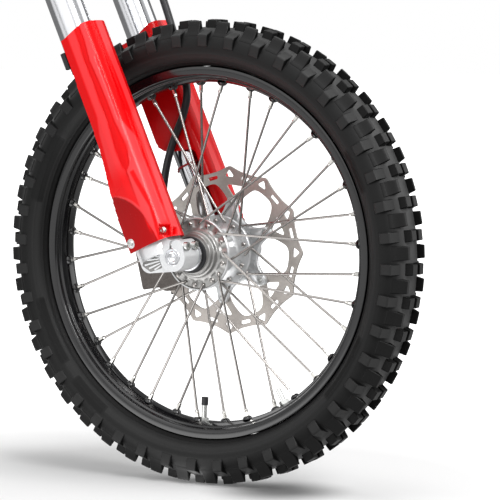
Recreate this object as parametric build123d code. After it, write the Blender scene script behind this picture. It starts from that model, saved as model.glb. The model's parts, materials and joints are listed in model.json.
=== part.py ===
# Motorcycle front end: a spoked 21 inch wheel in an upside-down telescopic fork, with its brake and guards.
# Frame: +X is forward, +Y is the rider's left, +Z is up. Origin: centre of the lower steering bearing seat.
# The fork is laid out in its own axes: q forward of the leg axes, y to the left, s up the legs from the axle.
from build123d import *
import math
import os

# ---- steering and fork layout ----
rake = 24.0                  # fork legs lean back from the vertical
leg_spacing = 190.0          # between the two leg axes
axle_lead = 32.0             # axle ahead of the leg axes
stem_offset = 23.0           # steering axis behind the leg axes
seat_height = 753.5          # lower bearing seat above the axle, along the legs
seat_length = 17.0           # width of the lower bearing's inner ring
seat_r = 15.0                # lower bearing seat
upper_seat_r = 13.0          # upper bearing seat
upper_seat_length = 15.0
upper_seat_drop = 16.0       # upper seat's top face below the upper clamp
stem_r = 12.4                # stem between the seats and through the upper clamp
head_span = 151.0            # lower clamp's top face to the upper clamp's lower face
stem_root_r = 17.0           # stem inside the lower clamp
stem_bore_r = 9.0
fit_gap = 0.05               # round fits inside the fork
seat_gap = 0.3               # rest gap between pieces that lie on each other

# ---- fork legs ----
stanchion_r = 23.5
stanchion_wall = 2.5
travel_height = 154.0        # travel ring above the axle
stanchion_foot = 20.0        # lower end of the stanchion, in the lug's socket
stanchion_top = 430.0        # upper end, inside the outer tube
tube_low_r = 27.2            # outer tube below the lower clamp
tube_clamp_r = 29.5          # outer tube swelling in the lower clamp
swell_reach = 15.0           # swelling beyond the lower clamp
swell_taper = 30.0
tube_foot = 334.0            # lower end of the outer tube
tube_proud = 4.0             # outer tube above the upper clamp
seal_height = 12.0
cap_height = 7.0
lug_socket_r = 27.6
lug_socket_top = 62.0
lug_clamp_r = 22.0           # round clamp about the axle
lug_out = 19.5               # clamp's outer face beyond the leg axis
lug_in = 19.0                # clamp's inner face inside the leg axis
slot_width = 4.0             # split in the axle clamp
pinch_spacing = 23.0         # between the two axle pinch bolts
pinch_rise = 17.0            # pinch bolts above the axle
bolt_r = 4.0                 # M8 shanks
bolt_head_r = 6.5
bolt_head = 6.0
pinch_seat = 18.0            # pinch bolt heads' seats, ahead of the axle
pinch_tip = -15.0
lug_web = 17.0               # half thickness of the lug's web
lug_web_top = 36.0
lug_heel = (-11.0, 7.0)      # rear lower corner, ahead of the leg axis and up the leg
lug_heel_r = 15.0
lower_clamp_height = 42.0
upper_clamp_height = 32.0
clamp_boss_r = 40.0
upper_boss_r = 37.5
clamp_bolt_seat = 14.0       # pinch bolt heads, out from the leg axis
clamp_bolt_tip = -16.0
bar_spacing = 96.0           # between the two handlebar mount holes
bar_hole_r = 5.1
pinch_gap = 2.5

# ---- guards ----
guard_foot = 30.0
guard_top_front = 383.0
guard_top_rear = 371.0
guard_front = 43.0           # front face ahead of the leg axis
guard_in = 31.0              # inner face
guard_out = 37.0             # outer face
guard_back = 31.0            # rear edge of the inner wrap
guard_back_high = 10.0       # rear edge of the outer face, upper part
guard_back_low = 27.0        # rear edge of the outer face at the flare
guard_wall = 2.6
guard_round_out = 17.0       # front outer corner
guard_round_in = 11.0        # front inner corner
flare_start = 200.0
flare_end = 88.0
wrap_foot = 180.0            # lower edge of the inner wrap
rear_bolt = (-19.0, 42.0)    # guard bolts, ahead of the leg axis and up the leg
front_bolt = (34.0, 59.0)
tray_floor = 18.0            # floor of the front bolt's recess, out from the leg axis
tray_width = 18.0
tray_height = 20.0
clip_height = 340.0          # rubber clip on the rear edge
clip_depth = 7.0
clip_width = 6.0
clip_length = 26.0
relief_depth = 1.2           # channel and lower panel, sunk in the outer face
channel_back = 14.0
channel_front = 27.0
channel_foot = 147.0
panel_top = 124.0            # top of the lower panel, over the guard bolts

# ---- wheel ----
tyre_r = 356.0               # over the centre knobs
tyre_half = 46.0
tyre_wall = 6.0
knob_height = 13.0
knob_pitches = 44
knob_phase = 6.4             # first row of knobs above the forward direction, degrees
knob_length = 16.5           # along the tread
side_knob_length = 20.0
groove_half = 3.3            # groove between the centre knobs
centre_half = 17.5           # outer face of the centre knobs
crown_half = 22.0            # flat of the carcass under the centre knobs
shoulder_half = 36.0
shoulder_drop = 11.0         # shoulder below the crown
side_rise = 3.5              # shoulder knobs out from the sidewall
bead_r = 270.6
flange_height = 14.0         # rim flange above the bead seat
rim_well = 10.0              # spoke bed below the bead seat
rim_half = 26.0
rim_flange_wall = 3.0
rim_wall = 3.2
rim_bed_half = 8.0
spoke_count = 36
spoke_r = 1.9
spoke_crosses = 2
nipple_r = 3.2
nipple_length = 15.0
valve_r = 4.0
valve_length = 24.0
valve_cap_length = 12.0
lock_r = 4.0
lock_length = 26.0
stud_root = 9.5              # valve and lock studs beyond the spoke bed, inside the tyre
rim_spread = 6.0             # nipples off the rim's middle plane
valve_angle = 267.0          # round the wheel, from forward through up
lock_angle = 300.0
hub_flange_r = 55.5
hub_flange_y = 42.0          # right flange, its outer face
hub_left_y = 25.5            # left flange, its outer face
hub_flange_wall = 5.0
hub_barrel_r = 27.0
hub_spoke_r = 47.0           # circle of the spoke holes
hub_end = 60.0               # right end
hub_left_end = 58.0
hub_step_r = 35.0            # boss outside the right flange
bearing_r = 23.5
bearing_width = 14.0
seal_r = 24.5
seal_width = 5.0
spacer_r = 21.5
axle_r = 10.0
axle_bore_r = 7.0
axle_nut_height = 9.0
running_gap = 0.05           # axle in the bearings
disc_r = 130.0
disc_y = 54.0
disc_wall = 3.2
disc_band = 25.0
disc_dip = 8.0               # edge between two petals, in from their tips
disc_dip_r = 120.0           # curve of the edge between two petals
disc_hole_r = 4.2
disc_slot_width = 5.0
disc_arm_half = 5.0
disc_mount_r = 45.0          # circle of the six disc bolts
disc_boss_r = 9.0
disc_boss_wall = 6.0
disc_petals = 12

# ---- brake ----
caliper_angle = 193.0        # round the axle, from +X through +Z
caliper_length = 96.0
bore_r = 112.0               # piston bores from the axle
bore_spacing = 42.0
bore_wall_r = 24.0           # casting round each bore
bore_cap_r = 17.0
bore_cap = 8.0
piston_r = 14.0
jaw_r = 22.0                 # inboard jaw round each bore's line
bridge_r = 160.0             # bridge over the disc's edge
edge_round = 4.0
banjo_r = 9.0
banjo_bolt_r = 5.0
ferrule_length = 22.0
pad_length = 74.0
pad_gap = 0.6
slot_half = 6.0              # half width of the caliper's slot
caliper_in = 37.0            # caliper's wheel side
caliper_out = 88.0
bracket_r = 74.0             # bracket bolts from the axle, towards the caliper
bracket_span = 64.0          # between the two bracket bolts
bracket_boss_r = 10.0
bracket_bolt_r = 4.0
bracket_in = 64.0            # bracket plate's wheel side
arm_in = 72.0                # lug arms' wheel side
arm_wall = 10.0
hose_r = 6.0
pin_r = 3.0
pin_rise = 11.0              # pad pin beyond the disc's edge

lean = math.radians(rake)
half_spacing = leg_spacing / 2
flange_r = bead_r + flange_height
rim_bed_r = bead_r - rim_well
crown_r = tyre_r - knob_height
shoulder_r = crown_r - shoulder_drop
sidewall = shoulder_r - flange_r
axle_out = half_spacing + lug_out
lower_top = seat_height - seat_length / 2        # top face of the lower clamp
lower_foot = lower_top - lower_clamp_height
upper_foot = lower_top + head_span
upper_top = upper_foot + upper_clamp_height
tube_top = upper_top + tube_proud
lower_rises = [lower_foot + lower_clamp_height * part for part in (0.25, 0.75)]
upper_rises = [upper_foot + upper_clamp_height * part for part in (0.25, 0.75)]


def fork_point(q, y, s):
    """Row-frame point of fork axes q (forward), y (left) and s (up the legs)."""
    q0 = q + stem_offset
    s0 = s - seat_height
    return Vector(q0 * math.cos(lean) - s0 * math.sin(lean), y, q0 * math.sin(lean) + s0 * math.cos(lean))


fork_plane = Plane(origin=fork_point(0, 0, 0), x_dir=(math.cos(lean), 0, math.sin(lean)),
                   z_dir=(-math.sin(lean), 0, math.cos(lean)))
axle_centre = fork_point(axle_lead, 0, 0)
fork = Location(fork_plane)
wheel = Location(axle_centre)
parts = {}
foot_align = (Align.CENTER, Align.CENTER, Align.MIN)
tray_align = (Align.CENTER, Align.MIN, Align.CENTER)


def ring(outer, inner, low, high):
    """Round tube about local Z from low to high."""
    body = Pos(0, 0, low) * Cylinder(outer, high - low, align=foot_align)
    if inner:
        body -= Pos(0, 0, low - 1) * Cylinder(inner, high - low + 2, align=foot_align)
    return body


def across(outer, inner, low, high):
    """The same tube laid along Y, from y = low to y = high."""
    return Rot(-90, 0, 0) * ring(outer, inner, low, high)


def turned(points):
    """Ring turned about the wheel axis from (radius, y) points."""
    return revolve(make_face(Polyline(*points, close=True)), Axis.Y)


def mirrored(shape):
    return mirror(shape, Plane.XZ)


# ---- tyre and rim ----
def carcass_section():
    seat = rim_half - rim_flange_wall - seat_gap
    bulge = tyre_half - side_rise
    outer = [(bead_r + seat_gap, seat), (flange_r + 0.03 * sidewall, seat),
             (flange_r + 0.32 * sidewall, bulge - 2.5), (flange_r + 0.66 * sidewall, bulge),
             (shoulder_r, shoulder_half), (crown_r, crown_half)]
    inner = [(bead_r + seat_gap, seat - tyre_wall), (flange_r, seat - tyre_wall),
             (flange_r + 0.46 * sidewall, bulge - tyre_wall), (crown_r - 2 * tyre_wall, crown_half - 4)]
    outside = outer + [(r, -y) for r, y in reversed(outer)]
    inside = [(r, -y) for r, y in inner] + list(reversed(inner))
    return make_face(Polyline(*outside, *inside, close=True))


def knob(profile, length, hand, turn):
    """Tread block with an (r, y) outline on the left (1) or the right (-1), turned up round the axle."""
    outline = Polyline(*[(r, hand * y) for r, y in profile], close=True)
    return Rot(0, -turn, 0) * extrude(make_face(outline), length / 2, both=True)


def make_tyre():
    """Ring of flat-faced pitches, each with a row of centre and shoulder knobs and a row of side knobs."""
    root = 3.0
    centre = [(crown_r - root, groove_half), (tyre_r, groove_half), (tyre_r - 1, centre_half),
              (crown_r - root, centre_half)]
    side = [(shoulder_r - root, crown_half + 1), (tyre_r - 2.5, crown_half + 1), (tyre_r - 3, crown_half + 5),
            (shoulder_r - root, shoulder_half)]
    shoulder = [(flange_r + 0.64 * sidewall, tyre_half - side_rise - 1), (shoulder_r, tyre_half),
                (shoulder_r + 0.6 * shoulder_drop, crown_half + 4)]
    pitch = 360.0 / knob_pitches
    reach = 2 * tyre_r
    spread = reach * math.tan(math.radians(pitch / 2))
    wedge = extrude(Plane.XZ * make_face(Polyline((0, 0), (reach, -spread), (reach, spread), close=True)),
                    tyre_half + 1, both=True)
    segment = extrude(carcass_section(), spread, both=True) & wedge
    row = -pitch / 4
    kinds = [(centre, knob_length, row), (shoulder, knob_length, row), (side, side_knob_length, -row)]
    blocks = [knob(profile, length, hand, turn) for hand in (-1, 1) for profile, length, turn in kinds]
    segment = segment.fuse(*blocks)
    places = [knob_phase + (k + 0.25) * pitch for k in range(knob_pitches)]
    segments = [Rot(0, -angle, 0) * segment for angle in places]
    return segments[0].fuse(*segments[1:])


def make_rim():
    out = rim_half
    inside = rim_half - rim_flange_wall
    low = rim_bed_r
    half = [(low, rim_bed_half), (low + 5.4, out - 8), (low + 8, out - 6), (bead_r + 1, out - 0.5),
            (flange_r - 2, out), (flange_r, out - 1), (flange_r, inside), (bead_r, inside), (bead_r - 0.6, 15),
            (low + rim_wall + 1, rim_bed_half + 2), (low + rim_wall, rim_bed_half - 2)]
    body = turned(half + [(r, -y) for r, y in reversed(half)])
    for angle, bore in ((valve_angle, valve_r), (lock_angle, lock_r)):
        body -= stem_at(angle, 0) * Cylinder(bore + fit_gap, 4 * rim_well)
    return body


def stem_at(angle, y):
    """Place on the rim's spoke bed whose local Z points to the axle."""
    at = polar(rim_bed_r, angle, y)
    return Location(Plane(origin=at, x_dir=(0, 1, 0), z_dir=Vector(-at.X, 0, -at.Z)))


def make_valve():
    stem = ring(valve_r, 0, -stud_root, valve_length)
    nut = Pos(0, 0, seat_gap) * extrude(RegularPolygon(valve_r + 3.2, 6), 3.5)
    return stem_at(valve_angle, 0) * (stem + nut)


def make_valve_cap():
    return stem_at(valve_angle, 0) * ring(valve_r + 1.2, 0, valve_length, valve_length + valve_cap_length)


def make_rim_lock():
    stud = ring(lock_r, 0, -stud_root, lock_length)
    nut = Pos(0, 0, seat_gap) * extrude(RegularPolygon(lock_r + 4, 6), 6)
    return stem_at(lock_angle, 0) * (stud + nut)


# ---- hub and spokes ----
def make_hub():
    flange_in = hub_flange_y - hub_flange_wall
    left_in = hub_left_y - hub_flange_wall
    barrel = hub_barrel_r
    root = barrel + 8
    blend = 9.0
    seat = disc_y - disc_wall / 2
    bore = axle_r + 3.5
    right_seat = hub_end - seal_width
    left_seat = hub_left_end - seal_width
    right_stop = right_seat - bearing_width
    left_stop = left_seat - bearing_width
    step = hub_end - 10
    half = [(seal_r, -hub_end), (barrel, -hub_end), (barrel, -hub_end + 3), (barrel + 4, -hub_end + 3),
            (barrel + 4, -step), (hub_step_r, -step), (hub_step_r, -hub_flange_y),
            (hub_flange_r - 1, -hub_flange_y), (hub_flange_r, -hub_flange_y + 1), (hub_flange_r, -flange_in),
            (root, -flange_in), (barrel, -flange_in + blend), (barrel, left_in - blend), (root, left_in),
            (hub_flange_r, left_in), (hub_flange_r, hub_left_y - 1), (hub_flange_r - 1, hub_left_y),
            (root, hub_left_y), (root - 2, seat - disc_boss_wall), (root - 2, seat),
            (barrel, seat), (barrel, hub_left_end), (seal_r, hub_left_end), (seal_r, left_seat),
            (bearing_r, left_seat), (bearing_r, left_stop), (bore, left_stop),
            (bore, -right_stop), (bearing_r, -right_stop), (bearing_r, -right_seat), (seal_r, -right_seat)]
    body = turned(half)
    for k in range(6):
        boss = Pos(disc_mount_r, 0, 0) * across(disc_boss_r, 0, seat - disc_boss_wall, seat)
        arm_length = disc_mount_r - barrel
        arm = Box(arm_length, disc_boss_wall, disc_boss_r)
        arm = Pos(barrel + arm_length / 2, seat - disc_boss_wall / 2, 0) * arm
        body += Rot(0, k * 60, 0) * (boss + arm)
    return body


def make_bearings():
    right = hub_end - seal_width
    left = hub_left_end - seal_width
    low = across(bearing_r, axle_r + running_gap, -right, -right + bearing_width)
    return Compound([low, across(bearing_r, axle_r + running_gap, left - bearing_width, left)])


def make_seals():
    right = across(seal_r, spacer_r + seat_gap, -hub_end, -hub_end + seal_width)
    return Compound([right, across(seal_r, spacer_r + seat_gap, hub_left_end - seal_width, hub_left_end)])


def polar(radius, angle, y):
    a = math.radians(angle)
    return Vector(radius * math.cos(a), y, radius * math.sin(a))


def rod(start, end, radius):
    way = end - start
    return Plane(origin=start, z_dir=way) * Cylinder(radius, way.length, align=foot_align)


def spoke_ends(i):
    """Hub end and rim end of spoke i; even spokes go to the right flange."""
    step = 360.0 / spoke_count
    side = -1 if i % 2 == 0 else 1
    flange = hub_flange_y if side < 0 else hub_left_y
    lead = 1 if (i // 2) % 2 == 0 else -1
    rim_angle = (i + 0.5) * step
    hub_angle = rim_angle + lead * spoke_crosses * 2 * step
    outboard = flange + spoke_r + 1.7
    inboard = flange - hub_flange_wall - spoke_r - seat_gap
    hub = polar(hub_spoke_r, hub_angle, side * (outboard if lead > 0 else inboard))
    rim = polar(rim_bed_r - 0.8, rim_angle, side * (rim_spread if lead > 0 else rim_spread - 3))
    return hub, rim


def make_spokes(side):
    rods = []
    for i in range(side, spoke_count, 2):
        hub, rim = spoke_ends(i)
        way = (rim - hub).normalized()
        rods.append(rod(hub + way * 2, rim - way * (nipple_length - 1), spoke_r))
    return Compound(rods)


def make_nipples():
    shanks = []
    for i in range(spoke_count):
        hub, rim = spoke_ends(i)
        way = (rim - hub).normalized()
        foot = rim - way * (nipple_length - 1.2)
        plane = Plane(origin=foot, z_dir=way)
        shanks.append(plane * extrude(RegularPolygon(nipple_r, 6), nipple_length - 1.5))
    return Compound(shanks)


# ---- brake disc ----
def make_disc():
    band = disc_r - disc_band
    outer = Circle(disc_r)
    pitch = 360.0 / disc_petals
    for k in range(disc_petals):
        outer -= Rot(0, 0, (k + 0.5) * pitch) * Pos(disc_r - disc_dip + disc_dip_r, 0) * Circle(disc_dip_r)
    outer -= Circle(band)
    for k in range(disc_petals):
        outer -= Rot(0, 0, k * pitch) * Pos(disc_r - disc_band / 2, 0) * Circle(disc_hole_r)
        slot = Rot(0, 0, 90) * SlotOverall(3 * disc_slot_width, disc_slot_width)
        slot = Pos(disc_r - disc_dip - disc_band / 3, 0) * slot
        outer -= Rot(0, 0, (k + 0.5) * pitch) * slot
    arms = Sketch() + [Rot(0, 0, k * 60) * Pos(disc_mount_r, 0) * Circle(disc_boss_r) for k in range(6)]
    foot_r = disc_mount_r + 3
    for k in range(6):
        for turn in (-1, 1):
            tip = Vector(band + 2, 0).rotate(Axis.Z, turn * 13)
            arm = make_face(Polyline((foot_r, turn * 4 - 3.5), (tip.X, tip.Y - disc_arm_half),
                                     (tip.X, tip.Y + disc_arm_half), (foot_r, turn * 4 + 3.5), close=True))
            arms += Rot(0, 0, k * 60) * arm
    ring_half = 4.0
    arms += Circle(disc_mount_r + ring_half) - Circle(disc_mount_r - ring_half)
    plate = outer + arms
    for k in range(6):
        plate -= Rot(0, 0, k * 60) * Pos(disc_mount_r, 0) * Circle(bolt_r + fit_gap)
    body = extrude(plate, disc_wall / 2, both=True)
    return Pos(0, disc_y, 0) * Rot(90, 0, 0) * body


def make_disc_bolts():
    bolts = []
    for k in range(6):
        centre = Rot(0, k * 60, 0) * Pos(disc_mount_r, 0, 0)
        head = across(bolt_head_r, 0, disc_y + disc_wall / 2, disc_y + disc_wall / 2 + 4)
        shank = across(bolt_r, 0, disc_y - disc_wall / 2, disc_y + disc_wall / 2)
        bolts.append(centre * (head + shank))
    return Compound(bolts)


# ---- axle and spacers ----
def make_axle():
    return across(axle_r, axle_bore_r, -axle_out, axle_out + axle_nut_height + 1)


def make_axle_nut():
    """Hexagon nut with its collar, on the left end."""
    foot = axle_out + seat_gap
    collar = across(axle_r + 6.5, 0, foot, foot + 2)
    hexagon = extrude(RegularPolygon(axle_r + 5, 6), axle_nut_height - 2)
    hexagon = Rot(-90, 0, 0) * Pos(0, 0, foot + 2) * hexagon
    return collar + hexagon - across(axle_r + fit_gap, 0, foot - 1, foot + axle_nut_height + 1)


def make_spacer(side):
    end = hub_end if side < 0 else hub_left_end
    inner = end - seal_width + seat_gap
    outer = half_spacing - lug_in
    low, high = (inner, outer) if side > 0 else (-outer, -inner)
    return across(spacer_r, axle_r + fit_gap, low, high)


# ---- fork legs, in fork axes with the leg axis on local Z and +Y outward ----
def make_stanchion():
    return ring(stanchion_r, stanchion_r - stanchion_wall, stanchion_foot, stanchion_top)


def make_travel_ring():
    """Rubber ring on the stanchion that marks the travel used, with its pull tab."""
    grip = ring(stanchion_r + 2, stanchion_r + fit_gap, travel_height - 1.5, travel_height + 1.5)
    tab = Pos(-stanchion_r - 4, 0, travel_height) * Cylinder(3, 3)
    return grip + tab


def make_outer_tube():
    swell = tube_clamp_r
    low = tube_low_r
    bore = stanchion_r + fit_gap * 3
    thin = swell_reach + swell_taper
    half = [(bore, tube_foot), (low, tube_foot), (low, lower_foot - thin), (swell, lower_foot - swell_reach),
            (swell, lower_top + swell_reach), (low, lower_top + thin), (low, tube_top), (bore, tube_top)]
    return revolve(Plane.XZ * make_face(Polyline(*half, close=True)), Axis.Z)


def make_dust_seal():
    return ring(tube_low_r + 0.6, stanchion_r + fit_gap * 3, tube_foot - seal_height, tube_foot)


def make_fork_cap():
    cap = ring(tube_low_r - 1.2, 0, tube_top, tube_top + cap_height)
    hexagon = Pos(0, 0, tube_top + cap_height) * extrude(RegularPolygon(16, 6), 5)
    plug = ring(stanchion_r, 0, tube_top - 12, tube_top)
    return cap + hexagon + plug


def clamp_axes():
    """Place at the axle in a leg's own axes, with local X forward and local Z up."""
    return Pos(axle_lead, 0, 0) * Rot(0, rake, 0)


def bolt_along_x(tip, seat, radius=bolt_r):
    """Bolt lying along local X with its head's lower face at x = seat and its tip at x = tip."""
    shank = Pos(tip, 0, 0) * Rot(0, 90, 0) * ring(radius, 0, 0, seat - tip)
    head = Pos(seat, 0, 0) * Rot(0, 90, 0) * (ring(bolt_head_r, 0, 0, bolt_head) - hex_socket())
    return shank + head


def hex_socket():
    return Pos(0, 0, bolt_head - 3) * extrude(RegularPolygon(3.4, 6), 4)


def pinch_places():
    middle = (lug_out - lug_in) / 2
    return [Pos(0, middle + turn * pinch_spacing / 2, pinch_rise) for turn in (-1, 1)]


def make_lug(brake_side):
    side_view = Plane.XZ
    socket = lug_socket_r
    circle = Pos(axle_lead, 0) * Circle(lug_clamp_r)
    heel = Pos(lug_heel[0], lug_heel[1]) * Circle(lug_heel_r)
    head = Pos(0, lug_web_top) * Rectangle(2 * socket - 2, 2)
    outline = make_hull(circle.edges() + heel.edges() + head.edges())
    web = extrude(side_view * outline, lug_web, both=True)
    ear = make_hull((Circle(lug_clamp_r - 1)).edges() + (Pos(9, pinch_rise) * Circle(9.5)).edges())
    ear_body = extrude(side_view * ear, half_spacing, both=True)
    clamp = Pos(axle_lead, 0, 0) * across(lug_clamp_r, 0, -lug_in, lug_out)
    width = Pos(0, (lug_out - lug_in) / 2, 0) * Box(leg_spacing, lug_in + lug_out, leg_spacing)
    body = web + ring(socket, 0, 12, lug_socket_top) + clamp + (clamp_axes() * ear_body & width)
    for q, s, low, high in ((*rear_bolt, 0, guard_out - guard_wall - seat_gap),
                            (*front_bolt, 0, tray_floor - guard_wall - seat_gap)):
        body += Pos(q, 0, s) * across(bolt_r + 2, 0, low, high)
        body += Pos(q / 2, 4, s) * Box(abs(q), 8, 10)
    body -= clamp_axes() * Pos(-3, 0, lug_clamp_r) * Box(slot_width, 2 * half_spacing, 2 * lug_clamp_r - 4)
    for place in pinch_places():
        along = clamp_axes() * place * Rot(0, 90, 0)
        body -= along * ring(bolt_r + fit_gap, 0, pinch_tip - 1, pinch_seat + 1)
        body -= along * ring(bolt_head_r + 1, 0, pinch_seat, pinch_seat + 2 * lug_clamp_r)
    body -= Pos(axle_lead, 0, 0) * across(axle_r + fit_gap, 0, -half_spacing, half_spacing)
    body -= Pos(axle_lead, 0, 0) * across(spacer_r + 1.5, 0, -half_spacing, -lug_in)
    if brake_side:
        for along, root in ((-bracket_span / 2, (-6, 44)), (bracket_span / 2, (-6, 2))):
            q, s = caliper_to_fork(bracket_r, along)
            tip = (Pos(q, s) * Circle(bracket_boss_r)).edges()
            outline = make_hull(tip + (Pos(*root) * Circle(13)).edges())
            low = arm_in - half_spacing
            body += Pos(0, low + arm_wall / 2, 0) * extrude(side_view * outline, arm_wall / 2, both=True)
        for along in (-bracket_span / 2, bracket_span / 2):
            q, s = caliper_to_fork(bracket_r, along)
            body -= Pos(q, 0, s) * across(bracket_bolt_r + fit_gap, 0, low - 5, low + arm_wall + 5)
    return body - ring(stanchion_r + fit_gap, 0, stanchion_foot, lug_socket_top + 2 * bolt_head_r)


def make_pinch_bolts():
    """The two axle pinch bolts of one leg."""
    return [clamp_axes() * place * bolt_along_x(pinch_tip, pinch_seat) for place in pinch_places()]


def make_guard_bolts():
    """The rear and front screws of one guard, with their heads on the plastic."""
    bolts = []
    for (q, s), face in ((rear_bolt, guard_out - relief_depth), (front_bolt, tray_floor)):
        bolts.append(Pos(q, 0, s) * across(bolt_head_r - 1.5, 0, face, face + 4))
    return bolts


def guard_outline(inset):
    """Section of a guard, open to the rear, with both front corners rounded."""
    back = -guard_back - 2 * inset
    front, out, inn = guard_front - inset, guard_out - inset, guard_in - inset
    corners = Polyline((back, -inn), (front, -inn), (front, out), (back, out), close=True)
    face = make_face(corners)
    near = face.vertices().sort_by(Axis.X)[-2:].sort_by(Axis.Y)
    face = fillet(near[1], guard_round_out - inset)
    near = face.vertices().filter_by(lambda v: v.Y < 0).sort_by(Axis.X)[-1]
    return fillet(near, guard_round_in - inset)


def side_cut(points, low, high):
    """Solid with this (q, s) outline between two distances out from the leg axis."""
    return Pos(0, high, 0) * extrude(Plane.XZ * make_face(Polyline(*points, close=True)), high - low)


def make_guard():
    w = guard_wall
    height = guard_top_front - guard_foot
    below = guard_foot - bolt_r
    above = guard_top_front + bolt_r
    far = -2 * guard_back
    shell = Pos(0, 0, guard_foot) * extrude(guard_outline(0) - guard_outline(w), height)
    rear = [(far, below), (-guard_back_low, below), (-guard_back_low, flare_end),
            (-guard_back_high - 1, flare_start), (-guard_back_high, above), (far, above)]
    shell -= side_cut(rear, tray_floor, guard_out + 1)
    cut = guard_front - guard_round_in - w
    wrap = [(far, below), (cut, below), (cut, wrap_foot - guard_round_in), (cut - w, wrap_foot - w),
            (-guard_back + guard_round_in, wrap_foot + w), (-guard_back - 1, wrap_foot + guard_round_out),
            (far, above)]
    shell -= side_cut(wrap, -guard_in - 1, -guard_in + guard_round_in)
    slope = (guard_top_front - guard_top_rear) / (guard_front + guard_back_high)
    top = [(far, guard_top_rear + slope * (far + guard_back_high)), (guard_front + 1, guard_top_front + slope),
           (guard_front + 1, above + height), (far, above + height)]
    shell -= side_cut(top, -guard_in - 1, guard_out + 1)
    channel_top = guard_top_front + 1
    channel = [(channel_back, channel_foot), (channel_front, channel_foot), (channel_front, channel_top),
               (channel_back + w, channel_top)]
    panel = [(-guard_back - 1, below), (channel_front, below), (channel_front - w, flare_end - guard_round_out),
             (0, panel_top), (-guard_back - 1, panel_top + w)]
    for outline in (channel, panel):
        shell -= side_cut(outline, guard_out - relief_depth, guard_out + 1)
    q, s = front_bolt
    tray = Pos(q + 1, tray_floor - w, s) * Box(tray_width, tray_floor, tray_height, align=tray_align)
    tray &= Pos(0, 0, guard_foot) * extrude(guard_outline(seat_gap), height)
    well = Pos(q + 1 + w, tray_floor, s) * Box(tray_width, guard_out, tray_height - 2 * w, align=tray_align)
    return shell + tray - well


def make_guard_clip():
    """Rubber stop on the rear edge of a guard's outer face."""
    q = -guard_back_high - 1 - clip_depth / 2 - seat_gap
    return Pos(q, guard_out - clip_width / 2 - 1, clip_height) * Box(clip_depth, clip_width, clip_length)


# ---- triple clamps and stem ----
def clamp_plate(low, high, bore, boss):
    ears = [Pos(0, half_spacing) * Circle(boss), Pos(0, -half_spacing) * Circle(boss),
            Pos(-stem_offset, 0) * Circle(boss - 6)]
    edges = ears[0].edges() + ears[1].edges() + ears[2].edges()
    plate = Pos(0, 0, low) * extrude(make_hull(edges), high - low)
    for side in (-1, 1):
        plate -= Pos(0, side * half_spacing, 0) * ring(bore, 0, low - 1, high + 1)
    return plate


def clamp_bolt_places(rises, boss):
    """Where the pinch bolts of one side cross the split behind the tube, in the leg's own axes."""
    return [Pos(4.5 - boss, 0, rise) for rise in rises]


def split_clamp(plate, rises, bore, boss, low, high):
    """Split each clamp behind its tube, with holes and flat seats for its pinch bolts."""
    for side in (-1, 1):
        slot = Pos(-(bore + boss) / 2, 0, (low + high) / 2) * Box(boss - bore + 8, pinch_gap, high - low + 2)
        cuts = slot
        for place in clamp_bolt_places(rises, boss):
            cuts += place * across(bolt_r + fit_gap, 0, clamp_bolt_tip, clamp_bolt_seat + 1)
            cuts += place * across(bolt_head_r + 1, 0, clamp_bolt_seat, boss)
        plate -= Pos(0, half_spacing, 0) * cuts if side > 0 else mirrored(Pos(0, half_spacing, 0) * cuts)
    return plate


def make_clamp_bolts():
    """Pinch bolts of one side of both triple clamps."""
    bolts = []
    for rises, boss in ((lower_rises, clamp_boss_r), (upper_rises, upper_boss_r)):
        for place in clamp_bolt_places(rises, boss):
            shank = across(bolt_r, 0, clamp_bolt_tip, clamp_bolt_seat)
            head = across(bolt_head_r, 0, clamp_bolt_seat, clamp_bolt_seat + bolt_head)
            bolts.append(place * (shank + head))
    return bolts


def make_lower_clamp():
    plate = clamp_plate(lower_foot, lower_top, tube_clamp_r + fit_gap, clamp_boss_r)
    plate -= Pos(-stem_offset, 0, 0) * ring(stem_root_r + fit_gap, 0, lower_foot - 1, lower_top + 1)
    plate = split_clamp(plate, lower_rises, tube_clamp_r, clamp_boss_r, lower_foot, lower_top)
    return plate


def make_upper_clamp():
    plate = clamp_plate(upper_foot, upper_top, tube_low_r + fit_gap, upper_boss_r)
    plate -= Pos(-stem_offset, 0, 0) * ring(stem_r + fit_gap, 0, upper_foot - 1, upper_top + 1)
    plate = split_clamp(plate, upper_rises, tube_low_r, upper_boss_r, upper_foot, upper_top)
    for side in (-1, 1):
        plate -= Pos(0, side * bar_spacing / 2, 0) * ring(bar_hole_r, 0, upper_foot - 1, upper_top + 1)
    return plate


def make_stem():
    nut_top = upper_top + 12
    low = lower_foot - 6
    seat_top = upper_foot - upper_seat_drop
    seat_foot = seat_top - upper_seat_length
    half = [(stem_bore_r, low), (stem_root_r + 3, low), (stem_root_r + 3, lower_foot - seat_gap),
            (stem_root_r, lower_foot - seat_gap), (stem_root_r, lower_top), (seat_r, lower_top),
            (seat_r, lower_top + seat_length), (stem_r, lower_top + seat_length + 12),
            (stem_r, seat_foot), (upper_seat_r, seat_foot), (upper_seat_r, seat_top), (stem_r, seat_top),
            (stem_r, nut_top), (stem_bore_r, nut_top)]
    return Pos(-stem_offset, 0, 0) * revolve(Plane.XZ * make_face(Polyline(*half, close=True)), Axis.Z)


def make_stem_nut():
    nut = extrude(RegularPolygon(19, 6), 9)
    body = Pos(-stem_offset, 0, upper_top + seat_gap) * nut
    return body - Pos(-stem_offset, 0, 0) * ring(stem_r + fit_gap, 0, upper_top - 1, upper_top + 40)


# ---- caliper on its bracket, behind the left leg ----
def caliper_point(radius, along, y):
    """Point of the wheel's axes, from the axle: radius out at the caliper, then along the disc's rotation."""
    a = math.radians(caliper_angle)
    return Vector(radius * math.cos(a) - along * math.sin(a), y, radius * math.sin(a) + along * math.cos(a))


def caliper_frame():
    a = math.radians(caliper_angle)
    return Location(Plane(origin=(0, 0, 0), x_dir=(math.cos(a), 0, math.sin(a)), z_dir=(0, 1, 0)))


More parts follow.
